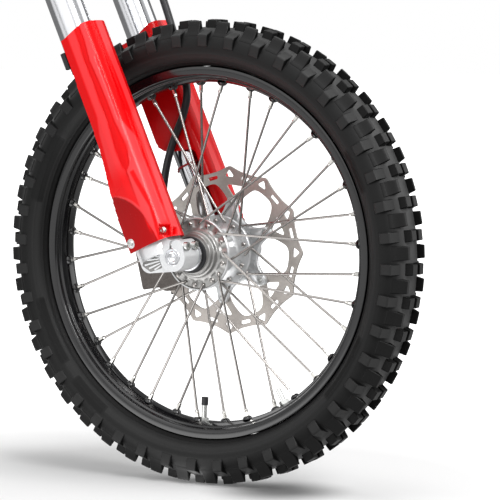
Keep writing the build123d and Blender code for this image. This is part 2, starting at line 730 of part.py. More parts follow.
def to_caliper(point):
    """A row-frame point in the caliper's own directions: radius out, along the disc's rotation, and y."""
    a = math.radians(caliper_angle)
    way = point - axle_centre
    return Vector(way.X * math.cos(a) + way.Z * math.sin(a), way.Z * math.cos(a) - way.X * math.sin(a), way.Y)


def caliper_to_fork(radius, along):
    """Fork axes (q, s) of a point given from the axle in the caliper's own directions."""
    point = caliper_point(radius, along, 0)
    q = axle_lead + point.X * math.cos(lean) + point.Z * math.sin(lean)
    s = -point.X * math.sin(lean) + point.Z * math.cos(lean)
    return q, s


def caliper_ears(radius):
    """The two bracket bolt places on the caliper's plane, each with a circle of this radius."""
    return [Pos(bracket_r, along) * Circle(radius) for along in (-bracket_span / 2, bracket_span / 2)]


def make_caliper():
    """Two-piston caliper: cylinders outboard, jaw inboard, windowed bridge over the disc, ears to the lug."""
    bores = [Pos(bore_r, side * bore_spacing / 2) for side in (-1, 1)]
    outer_face = disc_y + slot_half
    inner_face = disc_y - slot_half
    outboard = make_hull((bores[0] * Circle(bore_wall_r)).edges() + (bores[1] * Circle(bore_wall_r)).edges())
    body = Pos(0, 0, outer_face) * extrude(outboard, caliper_out - outer_face)
    rim_edges = body.faces().sort_by(Axis.Z)[-1].edges()
    body = fillet(rim_edges, edge_round)
    for place in bores:
        body += place * ring(bore_cap_r, 0, caliper_out - 1, caliper_out + bore_cap)
    jaw = make_hull((bores[0] * Circle(jaw_r)).edges() + (bores[1] * Circle(jaw_r)).edges())
    body += Pos(0, 0, caliper_in) * extrude(jaw, inner_face - caliper_in)
    span = caliper_out - edge_round - caliper_in
    bridge_foot = bore_r + bore_wall_r / 2
    bridge = Rectangle(bridge_r - bridge_foot, bore_spacing + bore_wall_r)
    bridge = Pos((bridge_foot + bridge_r) / 2, 0) * bridge
    bridge = extrude(fillet(bridge.vertices(), edge_round), span)
    body += Pos(0, 0, caliper_in) * bridge
    body -= ring(disc_r + slot_half, 0, inner_face, outer_face)
    window = Box(2 * (bridge_r - disc_r), bore_spacing - slot_half, outer_face - inner_face + 3)
    body -= Pos(bridge_r, 0, disc_y) * window
    hose = to_caliper(fork_point(*hose_points[0]))
    body += Pos(hose.X, -caliper_length / 2, hose.Z) * Rot(-90, 0, 0) * ring(banjo_r + 1, 0, 0, bore_wall_r)
    body -= bores[0] * ring(piston_r, 0, outer_face - 1, outer_face + slot_half)
    body -= bores[1] * ring(piston_r, 0, outer_face - 1, outer_face + slot_half)
    ears = [edge for ear in caliper_ears(bracket_boss_r) for edge in ear.edges()]
    root = Pos(bore_r - bore_wall_r + bracket_boss_r, 0) * Rectangle(bracket_boss_r, bore_spacing)
    body += Pos(0, 0, bracket_in) * extrude(make_hull(ears + root.edges()), arm_in - bracket_in - seat_gap)
    for ear in caliper_ears(bracket_bolt_r + fit_gap):
        body -= Pos(0, 0, bracket_in - 1) * extrude(ear, arm_in - bracket_in + 1)
    body -= Pos(disc_r + pin_rise, 0, 0) * ring(pin_r + fit_gap, 0, caliper_in + 4, caliper_out + 1)
    return caliper_frame() * body


def make_bracket_bolts():
    bolts = []
    for along in (-bracket_span / 2, bracket_span / 2):
        q, s = caliper_to_fork(bracket_r, along)
        top = arm_in + arm_wall
        bolt = across(bracket_bolt_r, 0, bracket_in, top) + across(bolt_head_r, 0, top, top + bolt_head)
        bolts.append(Pos(q, 0, s) * bolt)
    return Compound(bolts)


def make_pad_pin():
    """Pin that carries both pads across the caliper's slot."""
    low, high = caliper_in + 4, caliper_out
    return caliper_frame() * Pos(disc_r + pin_rise, 0, 0) * ring(pin_r, 0, low, high)


def make_pads():
    pads = []
    for side in (-1, 1):
        low = disc_y + side * (disc_wall / 2 + pad_gap)
        high = disc_y + side * (slot_half - 0.1)
        lining = extrude(RectangleRounded(disc_band, pad_length, edge_round), abs(high - low))
        pads.append(caliper_frame() * Pos(disc_r - disc_band / 2, 0, min(low, high)) * lining)
    return Compound(pads)


# ---- brake hose ----
hose_points = [(-75, 74, 86), (-62, 69, 114), (-42, 63, 143), (-18, 58.2, 172), (10, 57.2, 200),
               (38, 57.2, 224), (57, 58.2, 250), (64, 61, 284), (66, 65, 322), (67, 70, 364),
               (67, 75, 410), (66, 78, 460), (65, 79, 512), (65, 78, 564), (64, 76, 614),
               (62, 72, 660), (58, 66, 700), (56, 60, 742), (56, 56, 786), (57, 54, 826)]


def hose_path():
    points = [fork_point(*p) for p in hose_points]
    radii = []
    for a, b, c in zip(points, points[1:], points[2:]):
        turn = (b - a).get_angle(c - b)
        run = min((b - a).length, (c - b).length)
        radii.append(0.45 * run / math.tan(math.radians(turn) / 2))
    print("hose radii", [round(r) for r in radii])
    return FilletPolyline(*points, radius=radii)


def make_hose_fittings():
    """Crimped ferrule into the caliper below, ferrule with its banjo eye above."""
    first, second = fork_point(*hose_points[0]), fork_point(*hose_points[1])
    before, last = fork_point(*hose_points[-2]), fork_point(*hose_points[-1])
    out = (second - first).normalized()
    low = first - out * 14
    a = math.radians(caliper_angle)
    up = Vector(math.sin(a), 0, -math.cos(a))
    drop = (low - axle_centre).dot(up) - caliper_length / 2 - seat_gap
    lower = rod(low, first, hose_r - 1) + rod(low - up * drop, low + up * 7, banjo_r)
    way = (last - before).normalized()
    ferrule = rod(last, last + way * ferrule_length, hose_r - 0.5)
    eye_plane = Plane(origin=last + way * (ferrule_length + banjo_r - 1), z_dir=(0, 1, 0))
    eye = eye_plane * (Cylinder(banjo_r + 1, banjo_r) - Cylinder(banjo_bolt_r + fit_gap, 2 * banjo_r))
    return Compound([lower, ferrule + eye])


def make_hose():
    path = hose_path()
    start = Plane(origin=path @ 0, z_dir=path % 0)
    tube = sweep(start * Circle(hose_r), path=path)
    plain = math.pi * hose_r ** 2 * path.length
    print("hose length", round(path.length), "volume ratio", round(tube.volume / plain, 4))
    return tube


# ---- assembly ----
def keep(name, shape):
    parts[name] = shape


def leg(side, shape):
    """Place a leg's piece, drawn with +Y outward, on the left (1) or the right (-1)."""
    placed = Pos(0, half_spacing, 0) * shape
    return fork * (placed if side > 0 else mirrored(placed))


def both_legs(shapes):
    return Compound([leg(side, shape) for shape in shapes for side in (-1, 1)])


keep("tyre", wheel * make_tyre())
keep("rim", wheel * make_rim())
keep("valve_stem", wheel * make_valve())
keep("valve_cap", wheel * make_valve_cap())
keep("rim_lock", wheel * make_rim_lock())
keep("hub", wheel * make_hub())
keep("hub_bearings", wheel * make_bearings())
keep("hub_seals", wheel * make_seals())
keep("spokes_right", wheel * make_spokes(0))
keep("spokes_left", wheel * make_spokes(1))
keep("nipples", wheel * make_nipples())
keep("brake_disc", wheel * make_disc())
keep("disc_bolts", wheel * make_disc_bolts())
keep("axle", wheel * make_axle())
keep("axle_nut", wheel * make_axle_nut())
keep("caliper", wheel * make_caliper())
keep("brake_pads", wheel * make_pads())
keep("pad_pin", wheel * make_pad_pin())
keep("caliper_bolts", fork * make_bracket_bolts())
for side, hand in ((-1, "right"), (1, "left")):
    keep("spacer_" + hand, wheel * make_spacer(side))
    keep("lug_" + hand, leg(side, make_lug(side > 0)))
    keep("stanchion_" + hand, leg(side, make_stanchion()))
    keep("outer_tube_" + hand, leg(side, make_outer_tube()))
    keep("dust_seal_" + hand, leg(side, make_dust_seal()))
    keep("fork_cap_" + hand, leg(side, make_fork_cap()))
    keep("guard_" + hand, leg(side, make_guard()))
keep("travel_ring", leg(1, make_travel_ring()))
keep("pinch_bolts", both_legs(make_pinch_bolts()))
keep("guard_bolts", both_legs(make_guard_bolts()))
keep("guard_clips", both_legs([make_guard_clip()]))
keep("clamp_bolts", both_legs(make_clamp_bolts()))
keep("lower_clamp", fork * make_lower_clamp())
keep("upper_clamp", fork * make_upper_clamp())
keep("steering_stem", fork * make_stem())
keep("stem_nut", fork * make_stem_nut())
keep("brake_hose", make_hose())
keep("hose_fittings", make_hose_fittings())

os.makedirs("parts", exist_ok=True)
for name, shape in parts.items():
    export_step(shape, os.path.join("parts", name + ".step"))
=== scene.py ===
import bpy
import bmesh
import json
import math
from mathutils import Vector, Matrix


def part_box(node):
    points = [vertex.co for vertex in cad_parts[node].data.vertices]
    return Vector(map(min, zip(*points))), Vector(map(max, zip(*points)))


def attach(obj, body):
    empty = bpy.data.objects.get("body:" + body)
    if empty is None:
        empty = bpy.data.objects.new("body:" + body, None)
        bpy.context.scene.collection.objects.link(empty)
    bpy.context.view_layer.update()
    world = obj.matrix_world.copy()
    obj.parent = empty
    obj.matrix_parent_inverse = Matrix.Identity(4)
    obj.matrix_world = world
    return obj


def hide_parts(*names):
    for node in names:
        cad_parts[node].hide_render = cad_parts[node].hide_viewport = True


# Off-road motorcycle front wheel and fork. Lengths below are in millimetres, the scene is in metres.
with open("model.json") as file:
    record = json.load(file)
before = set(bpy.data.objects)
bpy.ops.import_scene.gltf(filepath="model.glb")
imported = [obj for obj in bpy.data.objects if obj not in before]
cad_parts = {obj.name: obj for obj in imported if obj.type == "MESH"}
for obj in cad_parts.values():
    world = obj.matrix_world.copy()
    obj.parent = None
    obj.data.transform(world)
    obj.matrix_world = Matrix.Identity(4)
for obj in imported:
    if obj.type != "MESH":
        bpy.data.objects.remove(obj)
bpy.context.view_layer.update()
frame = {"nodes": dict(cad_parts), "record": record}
mm = 0.001

# places read from the frame
tyreLow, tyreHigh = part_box("tyre")
axle = (tyreLow + tyreHigh) / 2  # wheel centre
upDir = Vector(frame["record"]["mounts"][0]["axis"]).normalized()  # along the fork legs
foreDir = Vector((upDir.z, 0, -upDir.x))
leftDir = Vector((0, 1, 0))
layout = {
    "axleLead": 32,  # axle ahead of the leg axes
    "halfSpacing": 95,  # leg axes from the middle plane
}


def wheelPoint(radius, angle, y):  # from the wheel centre; angle from forward through up
    a = math.radians(angle)
    return Vector((radius * math.cos(a), y, radius * math.sin(a)))


def legPoint(side, q, out, s):  # from the wheel centre: q ahead of a leg's axis, out from it, s up the leg
    return (q - layout["axleLead"]) * foreDir + side * (layout["halfSpacing"] + out) * leftDir + s * upDir


def addObject(name, data):
    obj = bpy.data.objects.new(name, data)
    bpy.context.scene.collection.objects.link(obj)
    return obj


camera = {
    "azimuth": 31.181,
    "elevation": 4.502,
    "distance": 4545.0,  # from the wheel centre
    "lens": 213.7,
    "sensor": 36,
    "shift": (0.07664, 0.004409),
    "clip": (0.1, 60),  # metres
}


def makeCamera():
    data = bpy.data.cameras.new("camera")
    data.lens = camera["lens"]
    data.sensor_width = camera["sensor"]
    data.shift_x, data.shift_y = camera["shift"]
    data.clip_start, data.clip_end = camera["clip"]
    obj = addObject("camera", data)
    a, e = math.radians(camera["azimuth"]), math.radians(camera["elevation"])
    back = Vector((math.sin(a) * math.cos(e), -math.cos(a) * math.cos(e), math.sin(e)))
    obj.location = axle + back * camera["distance"] * mm
    obj.rotation_euler = (-back).to_track_quat("-Z", "Y").to_euler()
    bpy.context.scene.camera = obj


makeCamera()
bpy.context.scene.view_settings.view_transform = "Standard"
print("camera in place")


def linear(hexColour):  # sRGB hex to linear
    out = []
    for i in (0, 2, 4):
        c = int(hexColour[i:i + 2], 16) / 255
        out.append(c / 12.92 if c <= 0.04045 else ((c + 0.055) / 1.055) ** 2.4)
    return (*out, 1)


# links: input to a socket, or to a node for its first output; stops: position and colour, along a colour ramp
def addNode(tree, kind, settings=None, links=None, stops=()):
    node = tree.nodes.new("ShaderNode" + kind)
    for name, value in (settings or {}).items():
        if isinstance(name, int) or name in node.inputs:
            node.inputs[name].default_value = value
        else:
            setattr(node, name, value)
    for name, source in (links or {}).items():
        tree.links.new(source.outputs[0] if isinstance(source, bpy.types.Node) else source, node.inputs[name])
    if stops:
        elements = node.color_ramp.elements
        while len(elements) < len(stops):
            elements.new(0.5)
        for element, (position, colour) in zip(elements, stops):
            element.position = position
            element.color = linear(colour)
    return node


def newMaterial(name):
    material = bpy.data.materials.new(name)
    material.use_nodes = True
    material.node_tree.nodes.clear()
    return material, material.node_tree


def finish(tree, shader):
    addNode(tree, "OutputMaterial", links={"Surface": shader})


grainSpan = (0.3, 0.7)  # nearly all of the noise lies between these
reliefDepth = 0.05  # of every finish, at strength 1


def grain(tree, sizeMm, detail=5.0, stretch=(1, 1, 1)):  # noise whose grains are about sizeMm wide
    place = addNode(tree, "TexCoord")
    stretched = addNode(tree, "Mapping", {"Scale": stretch}, {"Vector": place.outputs["Object"]})
    return addNode(tree, "TexNoise", {"Scale": 1000 / sizeMm / 2, "Detail": detail}, {"Vector": stretched})


def tint(tree, noise, colours):  # from the dark to the light colour over the grains
    return addNode(tree, "ValToRGB", links={"Fac": noise}, stops=list(zip(grainSpan, colours)))


def addSurface(tree, colour, noise, roughness, bump, settings):  # one colour, with the grain in its gloss and relief
    low, high = grainSpan
    rough = addNode(tree, "MapRange",
                    {"From Min": low, "From Max": high, "To Min": roughness[0], "To Max": roughness[1]},
                    {"Value": noise})
    relief = addNode(tree, "Bump", {"Strength": bump, "Distance": reliefDepth * mm}, {"Height": noise})
    shader = addNode(tree, "BsdfPrincipled", settings, {"Base Color": colour, "Roughness": rough, "Normal": relief})
    finish(tree, shader)


def makeMetal(name, colours, roughness, sizeMm, bump=0.0, stretch=(1, 1, 1), metallic=1.0):
    material, tree = newMaterial(name)
    noise = grain(tree, sizeMm, stretch=stretch)
    addSurface(tree, tint(tree, noise, colours), noise, roughness, bump, {"Metallic": metallic})
    return material


def makePlastic(name, colours, roughness, sizeMm, bump, ior=1.5):
    material, tree = newMaterial(name)
    noise = grain(tree, sizeMm)
    broad = grain(tree, sizeMm * 18, 3.0)
    addSurface(tree, tint(tree, broad, colours), noise, roughness, bump, {"IOR": ior})
    return material


def makeToned(name, stops, roughness, sizeMm, bump, ior):  # its painted light and shade follow the piece's tone values
    material, tree = newMaterial(name)
    band = addNode(tree, "Attribute", {"attribute_name": "tone"})
    ramp = addNode(tree, "ValToRGB", links={"Fac": band.outputs["Fac"]}, stops=stops)
    addSurface(tree, ramp, grain(tree, sizeMm), roughness, bump, {"IOR": ior})
    return material


# each: name, colours, roughness range, grain in millimetres, strength of the relief, then IOR for what is no metal
finishes = {
    # moulded rubber compound: near black, with painted highlights on the crown, the knobs' tops and a ring of the
    # side walls, and painted shade on the knobs' ends
    "tyreRubber": makeToned("tyreRubberPaintedLight", ((0.0, "020202"), (0.5, "131313"), (1.0, "454545")),
                            (0.42, 0.55), 1.6, 0.3, 1.3),
    # anodised rolled aluminium: satin black with a metal edge glint
    "blackRim": makePlastic("blackAnodisedAluminium", ("08080a", "0c0c0f"), (0.12, 0.15), 14.0, 0.0, 1.6),
    # machined aluminium: bright and even, its turning marks too fine to see
    "hubAlloy": makeMetal("machinedAluminium", ("d2d3d4", "dadbdc"), (0.27, 0.29), 14.0, 0.0, metallic=0.6),
    # the same alloy with a blasted face: darker grey
    "hubSatin": makeMetal("blastedMachinedAluminium", ("a3a2a0", "adacaa"), (0.36, 0.44), 1.6, 0.03, metallic=0.85),
    # shot blasted die casting: soft grey highlights
    "castAlloy": makeMetal("blastedCastAluminium", ("dcdddf", "e6e7e8"), (0.34, 0.4), 1.2, 0.04, metallic=0.55),
    # painted shade: the same casting, darker and rougher, for the thin sheets in the lug's recess and on its heel
    "castPaintedShade": makeMetal("castAluminiumPaintedShade", ("7c7b79", "8a8987"), (0.45, 0.55), 1.2, 0.08, metallic=0.7),
    # drawn stainless wire: thin sharp highlights, fine marks along the wire
    "spokeSteel": makeMetal("drawnStainlessSteel", ("96928f", "a09c99"), (0.22, 0.26), 3.0, 0.0, (1, 1, 0.2)),
    # nickel plated brass: small warm glints, a little dulled at the wrench flats
    "nippleMetal": makeMetal("nickelPlatedBrass", ("c9c7c2", "e4e2de"), (0.15, 0.25), 1.5, 0.1),
    # surface ground stainless plate: a broad satin sheen
    "discSteel": makeMetal("groundStainlessSteel", ("aea8a3", "b8b2ad"), (0.36, 0.42), 1.6, 0.02, metallic=0.85),
    # zinc plated fasteners: light grey, clear but soft reflections
    "zincSteel": makeMetal("zincPlatedSteel", ("c6c7c4", "d6d7d5"), (0.24, 0.3), 2.0, 0.01),
    # ground and chromed steel: mirrors the room, with no visible grain
    "brightSteel": makeMetal("chromedSteel", ("d2d3d6", "dcdde0"), (0.1, 0.12), 14.0, 0.0),
    # drawn and polished aluminium: bright, with faint lines along the tube
    "tubeAlloy": makeMetal("polishedAluminium", ("d2d3d6", "dcdde0"), (0.14, 0.2), 0.8, 0.01, (1, 1, 0.1)),
    # dark anodised casting: brown grey, slightly pebbled
    "caliperAlloy": makeMetal("darkAnodisedCasting", ("57524f", "67625f"), (0.36, 0.46), 1.0, 0.12),
    # blasted and anodised forging: matt mid grey
    "clampAlloy": makeMetal("greyAnodisedAluminium", ("55575b", "6d6f73"), (0.32, 0.44), 1.0, 0.2),
    # sintered lining: dull, dark and granular
    "padLining": makePlastic("sinteredLining", ("2b2723", "3e3832"), (0.75, 0.9), 0.8, 0.6),
    # moulded nitrile rubber: matt black
    "blackRubber": makePlastic("nitrileRubber", ("121214", "1d1d20"), (0.5, 0.65), 0.8, 0.3),
    # injection moulded polypropylene: glossy, coloured through, with painted highlight bands and painted shade
    "redPlastic": makeToned("polypropylenePaintedLight", ((0.0, "a60408"), (0.5, "f0060c"), (1.0, "f84448")),
                            (0.2, 0.28), 0.9, 0.04, 1.25),
    # moulded silicone: matt dark red
    "redRubber": makePlastic("redSiliconeRubber", ("8e0c12", "a01018"), (0.4, 0.5), 0.9, 0.05, 1.4),
    # moulded nylon: black with a fine spark eroded texture
    "blackPlastic": makePlastic("mouldedNylon", ("151517", "202023"), (0.4, 0.55), 0.8, 0.3),
    # extruded rubber cover: black with a soft sheen along the hose
    "hoseCover": makePlastic("extrudedHoseCover", ("131316", "1c1c20"), (0.3, 0.42), 1.0, 0.2),
}

print("materials made")


# a shape is its points, in millimetres from the wheel centre, and its faces
def joinGrid(rows, columns, closeRows=False, closeColumns=False):
    faces = []
    for i in range(rows if closeRows else rows - 1):
        for j in range(columns if closeColumns else columns - 1):
            a, b = i * columns, (i + 1) % rows * columns
            k = (j + 1) % columns
            faces.append((a + j, a + k, b + k, b + j))
    return faces


def turned(profile, steps, closed=True, shift=None):  # profile of (radius, y) turned about the wheel axis
    points = []
    for i in range(steps):
        angle = 360 * i / steps
        for r, y in profile:
            if shift:
                r, y = shift(angle, r, y)
            points.append(wheelPoint(r, angle, y))
    return points, joinGrid(steps, len(profile), True, closed)


def turnedAt(place, profile, sides):  # profile of (radius, height) turned about a place's own Z, ends capped
    points = []
    for r, z in profile:
        for i in range(sides):
            a = math.radians(360 * i / sides)
            points.append(place @ Vector((r * math.cos(a), r * math.sin(a), z)))
    faces = joinGrid(len(profile), sides, False, True)
    faces += [tuple(range(sides)), tuple(range(len(points) - sides, len(points)))]
    return points, faces


def placeAt(centre, zDir, xDir=Vector((1, 0, 0))):
    z = zDir.normalized()
    x = (xDir - xDir.dot(z) * z).normalized()
    y = z.cross(x)
    turn = Matrix((x, y, z)).transposed().to_4x4()
    return Matrix.Translation(centre) @ turn


def tube(path, radius, sides):  # round rod along a path, with its ends capped
    points = []
    side = Vector((0.3, 0.5, 0.8))
    for i, p in enumerate(path):
        way = (path[min(i + 1, len(path) - 1)] - path[max(i - 1, 0)]).normalized()
        side = (side - side.dot(way) * way).normalized()
        other = way.cross(side)
        for k in range(sides):
            a = 2 * math.pi * k / sides
            points.append(p + radius * (math.cos(a) * side + math.sin(a) * other))
    faces = joinGrid(len(path), sides, False, True)
    faces += [tuple(range(sides)), tuple(range(len(points) - sides, len(points)))]
    return points, faces


def bevelled(shape, width):
    mesh = bmesh.new()
    made = [mesh.verts.new(p) for p in shape[0]]
    for face in shape[1]:
        mesh.faces.new([made[i] for i in face])
    bmesh.ops.recalc_face_normals(mesh, faces=mesh.faces)
    bmesh.ops.bevel(mesh, geom=list(mesh.edges), offset=width, segments=1, affect="EDGES", clamp_overlap=True)
    mesh.verts.index_update()
    out = ([v.co.copy() for v in mesh.verts], [tuple(v.index for v in f.verts) for f in mesh.faces])
    mesh.free()
    return out


def moved(shape, matrix):
    return [matrix @ p for p in shape[0]], shape[1]


def makePiece(name, shapes, body, finishName, replaced, crease):  # crease: degrees from which an edge is sharp
    mesh = bmesh.new()
    for points, faces in shapes:
        made = [mesh.verts.new(p * mm) for p in points]
        for face in faces:
            mesh.faces.new([made[i] for i in face])
    bmesh.ops.recalc_face_normals(mesh, faces=mesh.faces)
    for face in mesh.faces:
        face.smooth = True
    limit = math.radians(crease)
    for edge in mesh.edges:
        if len(edge.link_faces) != 2 or edge.calc_face_angle() > limit:
            edge.smooth = False
    data = bpy.data.meshes.new(name)
    mesh.to_mesh(data)
    mesh.free()
    data.materials.append(finishes[finishName])
    obj = addObject(name, data)
    obj.location = axle
    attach(obj, body)
    if replaced:
        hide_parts(*replaced)
    return obj


def setTone(obj, domain, values):  # painted light: 0 painted shade, 0.5 plain, 1 painted highlight
    tone = obj.data.attributes.new("tone", "FLOAT", domain)
    tone.data.foreach_set("value", values)


def smoothLine(points, each):  # Catmull-Rom line through the points
    out = []
    for i in range(len(points) - 1):
        p = [points[max(i - 1, 0)], points[i], points[i + 1], points[min(i + 2, len(points) - 1)]]
        for k in range(each):
            t = k / each
            out.append(tuple(0.5 * (2 * b + (c - a) * t + (2 * a - 5 * b + 4 * c - d) * t ** 2
                                    + (3 * b - a - 3 * c + d) * t ** 3) for a, b, c, d in zip(*p)))
    out.append(tuple(points[-1]))
    return out


def between(value, table):  # straight lines through a table of (value, result)
    if value <= table[0][0]:
        return table[0][1]
    for (a, x), (b, y) in zip(table, table[1:]):
        if value <= b:
            return x + (y - x) * (value - a) / (b - a)
    return table[-1][1]


def step(value, low, high):  # smooth rise from 0 at low to 1 at high
    t = min(max((value - low) / (high - low), 0), 1)
    return t * t * (3 - 2 * t)


tyre = {
    "pitches": 44,
    "phase": 6.4,  # first centre row above the forward direction, degrees
    "bevel": 0.9,
    # outside of the carcass from the bead to the crown, as (radius, y)
    "carcass": ((285.4, 22.9), (287.2, 26.4), (291.0, 31.2), (296.0, 36.6), (302.0, 40.4), (309.0, 42.4),
                (317.0, 42.4), (325.0, 40.2), (332.0, 36.0), (338.0, 29.6), (342.4, 21.0), (344.0, 10.0)),
    "crown": 344.2,
    "lining": ((285, -16.9), (307, -36.5), (331, -18), (331, 18), (307, 36.5), (285, 16.9)),
    "ribRings": ((291.0, 0.9, 1.2), (303.5, 0.5, 0.9), (313.5, 0.6, 0.9)),  # radius, height, half width
    # one pitch of knobs on one side: section as (radius, y), half length at each point, shift in pitches
    "knobs": (
        (((340, 3.6), (356, 3.3), (355.2, 17.2), (340, 18.4)), (9.2, 8.1, 8.1, 9.2), 0),
        (((312, 38), (314.5, 43.4), (316.5, 44.6), (331, 45.8), (333, 44.8), (339, 29), (341, 22)),
         (8.6, 8.6, 8.4, 8.2, 8.0, 8.2, 8.4), 0),
        (((336, 20.5), (353.6, 21.6), (353.2, 25.6), (347.5, 28.2), (341.5, 30.6), (336, 33.4), (331.5, 37.4),
          (328, 37)), (11.4, 9.8, 9.8, 10.2, 10.6, 10.9, 11.2, 11.2), 0.5),
    ),
    # ribbed panels of the side walls: first angle, last angle, inner and outer radius
    "panels": ((20, 32, 297, 308), (146, 166, 297, 316), (196, 216, 297, 309), (222, 236, 297, 312),
               (318, 338, 297, 308)),
    "panelRibs": (0.7, 0.1),  # how far every other rib, and the others, sink
    "turnSteps": 352,
    "treadFrom": 325,  # radius where the side wall ends
    # painted light and shade, 0 dark to 1 light, by distance from the middle plane
    "carcassTone": ((0, 1.0), (19, 1.0), (27, 0.75), (34, 0.45), (40, 0.35)),
    "knobSidePaintedLight": ((18, 0.1), (26, 0.35), (38, 0.4), (44, 0.6)),  # painted light and shade on the knobs' outward faces
    "wallPaintedLight": ((285, 0.25), (292, 0.5), (298, 0.62), (304, 0.58), (312, 0.42), (325, 0.4)),  # a painted highlight ring on the side walls, by radius
    "panelTone": 0.02,
    "knobEndPaintedShade": 0.05,
    "knobTopPaintedLight": 0.7,
}


def onPanel(r, angle, y):  # the other side has its panels half a turn further
    turn = (angle + (0 if y < 0 else 180)) % 360
    return any(a <= turn <= b and low <= r <= high for a, b, low, high in tyre["panels"])


def wallRelief(angle, r, y):  # the panels' ribs, one step wide each
    if onPanel(r, angle, y) and abs(y) > 30:
        deep, shallow = tyre["panelRibs"]
        y -= math.copysign(deep if round(angle * tyre["turnSteps"] / 360) % 2 else shallow, y)
    return r, y


def knob(section, halves, hand):  # hand: 1 on the left, -1 on the right
    points = [Vector((r, hand * y, h)) for (r, y), h in zip(section, halves)]
    points += [Vector((r, hand * y, -h)) for (r, y), h in zip(section, halves)]
    n = len(section)
    faces = [tuple(range(n)), tuple(range(n, 2 * n))]
    faces += [(i, (i + 1) % n, n + (i + 1) % n, n + i) for i in range(n)]
    return bevelled((points, faces), tyre["bevel"])


def knobFacePaintedLight(middle, normal):
    out = Vector((middle.x, 0, middle.z)).normalized()
    if abs(normal.dot(Vector((-out.z, 0, out.x)))) > 0.6:  # painted shade on faces along the direction of rolling
        return tyre["knobEndPaintedShade"]
    if abs(normal.y) > 0.6:
        return between(abs(middle.y), tyre["knobSidePaintedLight"])
    return tyre["knobTopPaintedLight"]


# painted light on the tread's crown and a painted highlight ring on the side walls; the panels keep their own dark
# colour
def carcassTone(point):
    radius = point.xz.length
    if radius > tyre["treadFrom"]:
        return between(abs(point.y), tyre["carcassTone"])
    if onPanel(radius, math.degrees(math.atan2(point.z, point.x)), point.y):
        return tyre["panelTone"]
    return between(radius, tyre["wallPaintedLight"])


def makeTyre():
    outer = []
    for r, y in smoothLine(tyre["carcass"], 4):
        for ringRadius, height, half in tyre["ribRings"]:
            y += height * max(0.0, 1 - ((r - ringRadius) / half) ** 2)
        outer.append((r, y))
    outer = outer + [(tyre["crown"], 0.0)] + [(r, -y) for r, y in reversed(outer)]
    shapes = [turned(outer + list(tyre["lining"]), tyre["turnSteps"], True, wallRelief)]
    onCarcass = len(shapes[0][0])
    knobs = [(knob(section, halves, hand), shift) for hand in (-1, 1) for section, halves, shift in tyre["knobs"]]
    pitch = 360 / tyre["pitches"]
    for k in range(tyre["pitches"]):
        for shape, shift in knobs:
            angle = math.radians(tyre["phase"] + (k + shift) * pitch)
            shapes.append(moved(shape, Matrix.Rotation(-angle, 4, "Y")))
    obj = makePiece("knobblyTyre", shapes, "wheel", "tyreRubber", ["tyre"], 30)
    tones = []
    for face in obj.data.polygons:
        if face.vertices[0] < onCarcass:
            tones += [carcassTone(obj.data.vertices[k].co / mm) for k in face.vertices]
        else:
            tones += [knobFacePaintedLight(face.center / mm, face.normal)] * len(face.vertices)
    setTone(obj, "CORNER", tones)


makeTyre()
print("tyre made")

rim = {
    "bedRadius": 260.6,
    "spokeCount": 36,
    "nippleSpread": (6.0, 3.0),  # off the middle plane, outer and inner spokes
    # section from the middle out over the edge and back on the inside, as (radius, y)
    "half": ((260.3, 0.0), (260.4, 5.0), (260.8, 8.0), (262.0, 10.6), (265.0, 16.4), (266.0, 18.2), (266.9, 18.9),
             (268.0, 19.3), (268.8, 20.4), (270.2, 23.6), (271.6, 25.3), (273.4, 25.9), (282.6, 26.0),
             (284.0, 25.7), (284.6, 24.9), (284.5, 23.6), (283.6, 23.0), (270.6, 22.9), (269.8, 15.0),
             (264.8, 10.0), (263.8, 4.0)),
    "bossTip": 255.4,
    "boss": ((8.0, 0), (7.4, 0.35), (6.0, 0.75), (4.4, 0.96), (3.6, 1)),  # radius, share of the way to the tip
}

hub = {
    "spokeCircle": 47.0,
    "rightFlange": 42.0,  # outer face
    "leftFlange": 25.5,
    # section from the right seal's seat round the outside to the left one, as (radius, y)
    "profile": ((24.6, -54.0), (24.7, -59.4), (25.3, -60.0), (27.2, -60.0), (27.6, -59.4), (27.8, -56.6),
                (29.9, -56.4), (30.4, -57.2), (31.6, -57.2), (32.1, -56.5), (32.2, -50.4), (34.2, -50.2),
                (34.8, -49.8), (35.2, -49.0), (35.6, -43.4), (36.4, -42.4), (39.6, -42.0), (40.8, -42.0),
                (42.0, -42.0), (44.0, -42.0), (47.0, -42.0), (50.0, -42.0), (51.8, -42.0), (53.2, -42.0),
                (53.5, -42.7), (55.0, -42.9), (55.7, -42.2), (55.8, -41.0), (55.8, -38.0), (55.0, -37.0),
                (46.0, -36.6), (37.5, -36.2), (33.0, -33.5), (30.5, -28.0), (30.0, -21.0), (30.0, -9.0),
                (29.2, -8.4), (29.2, 4.0), (30.0, 4.6), (31.5, 12.0), (34.0, 17.5), (38.0, 19.9), (48.0, 20.3),
                (54.6, 20.4), (55.5, 21.2), (55.6, 24.6), (54.8, 25.5), (42.0, 26.0), (37.0, 28.5), (34.5, 34.0),
                (33.0, 44.0), (33.0, 52.3), (27.4, 52.4), (27.0, 57.4), (26.4, 58.0), (24.6, 58.0), (24.6, 50.0)),
    "faceRadius": 53,  # the right flange's pocketed face ends here
    "pockets": 18,
    "pocketPhase": 5,
    "pocketDepth": 2.8,
    "pocketFall": (39.8, 41.6),  # radii where a pocket's floor falls and rises
    "pocketRise": (51.6, 53.0),
    "boltCount": 6,
    "boltCircle": 75.0,
    "boltAngle": 24.0,
    # plate that bears the disc, drawn with a radius of 100
    "plate": ((28, 44.4), (98.6, 44.6), (99.6, 45.0), (100, 45.8), (100, 51.4), (99.4, 52.2), (28, 52.3)),
    # its edge: degrees from a lobe's middle, radius
    "lobe": ((0, 83.5), (3, 82.6), (5, 80.0), (6.5, 75.5), (8, 70), (11, 63.5), (15, 58.5), (20, 55.5), (25, 54),
             (30, 53.5)),
    "boltEnd": ((6.6, 0), (6.4, 1.4), (5.8, 1.9), (4.2, 1.9), (4.0, 0.6)),
}


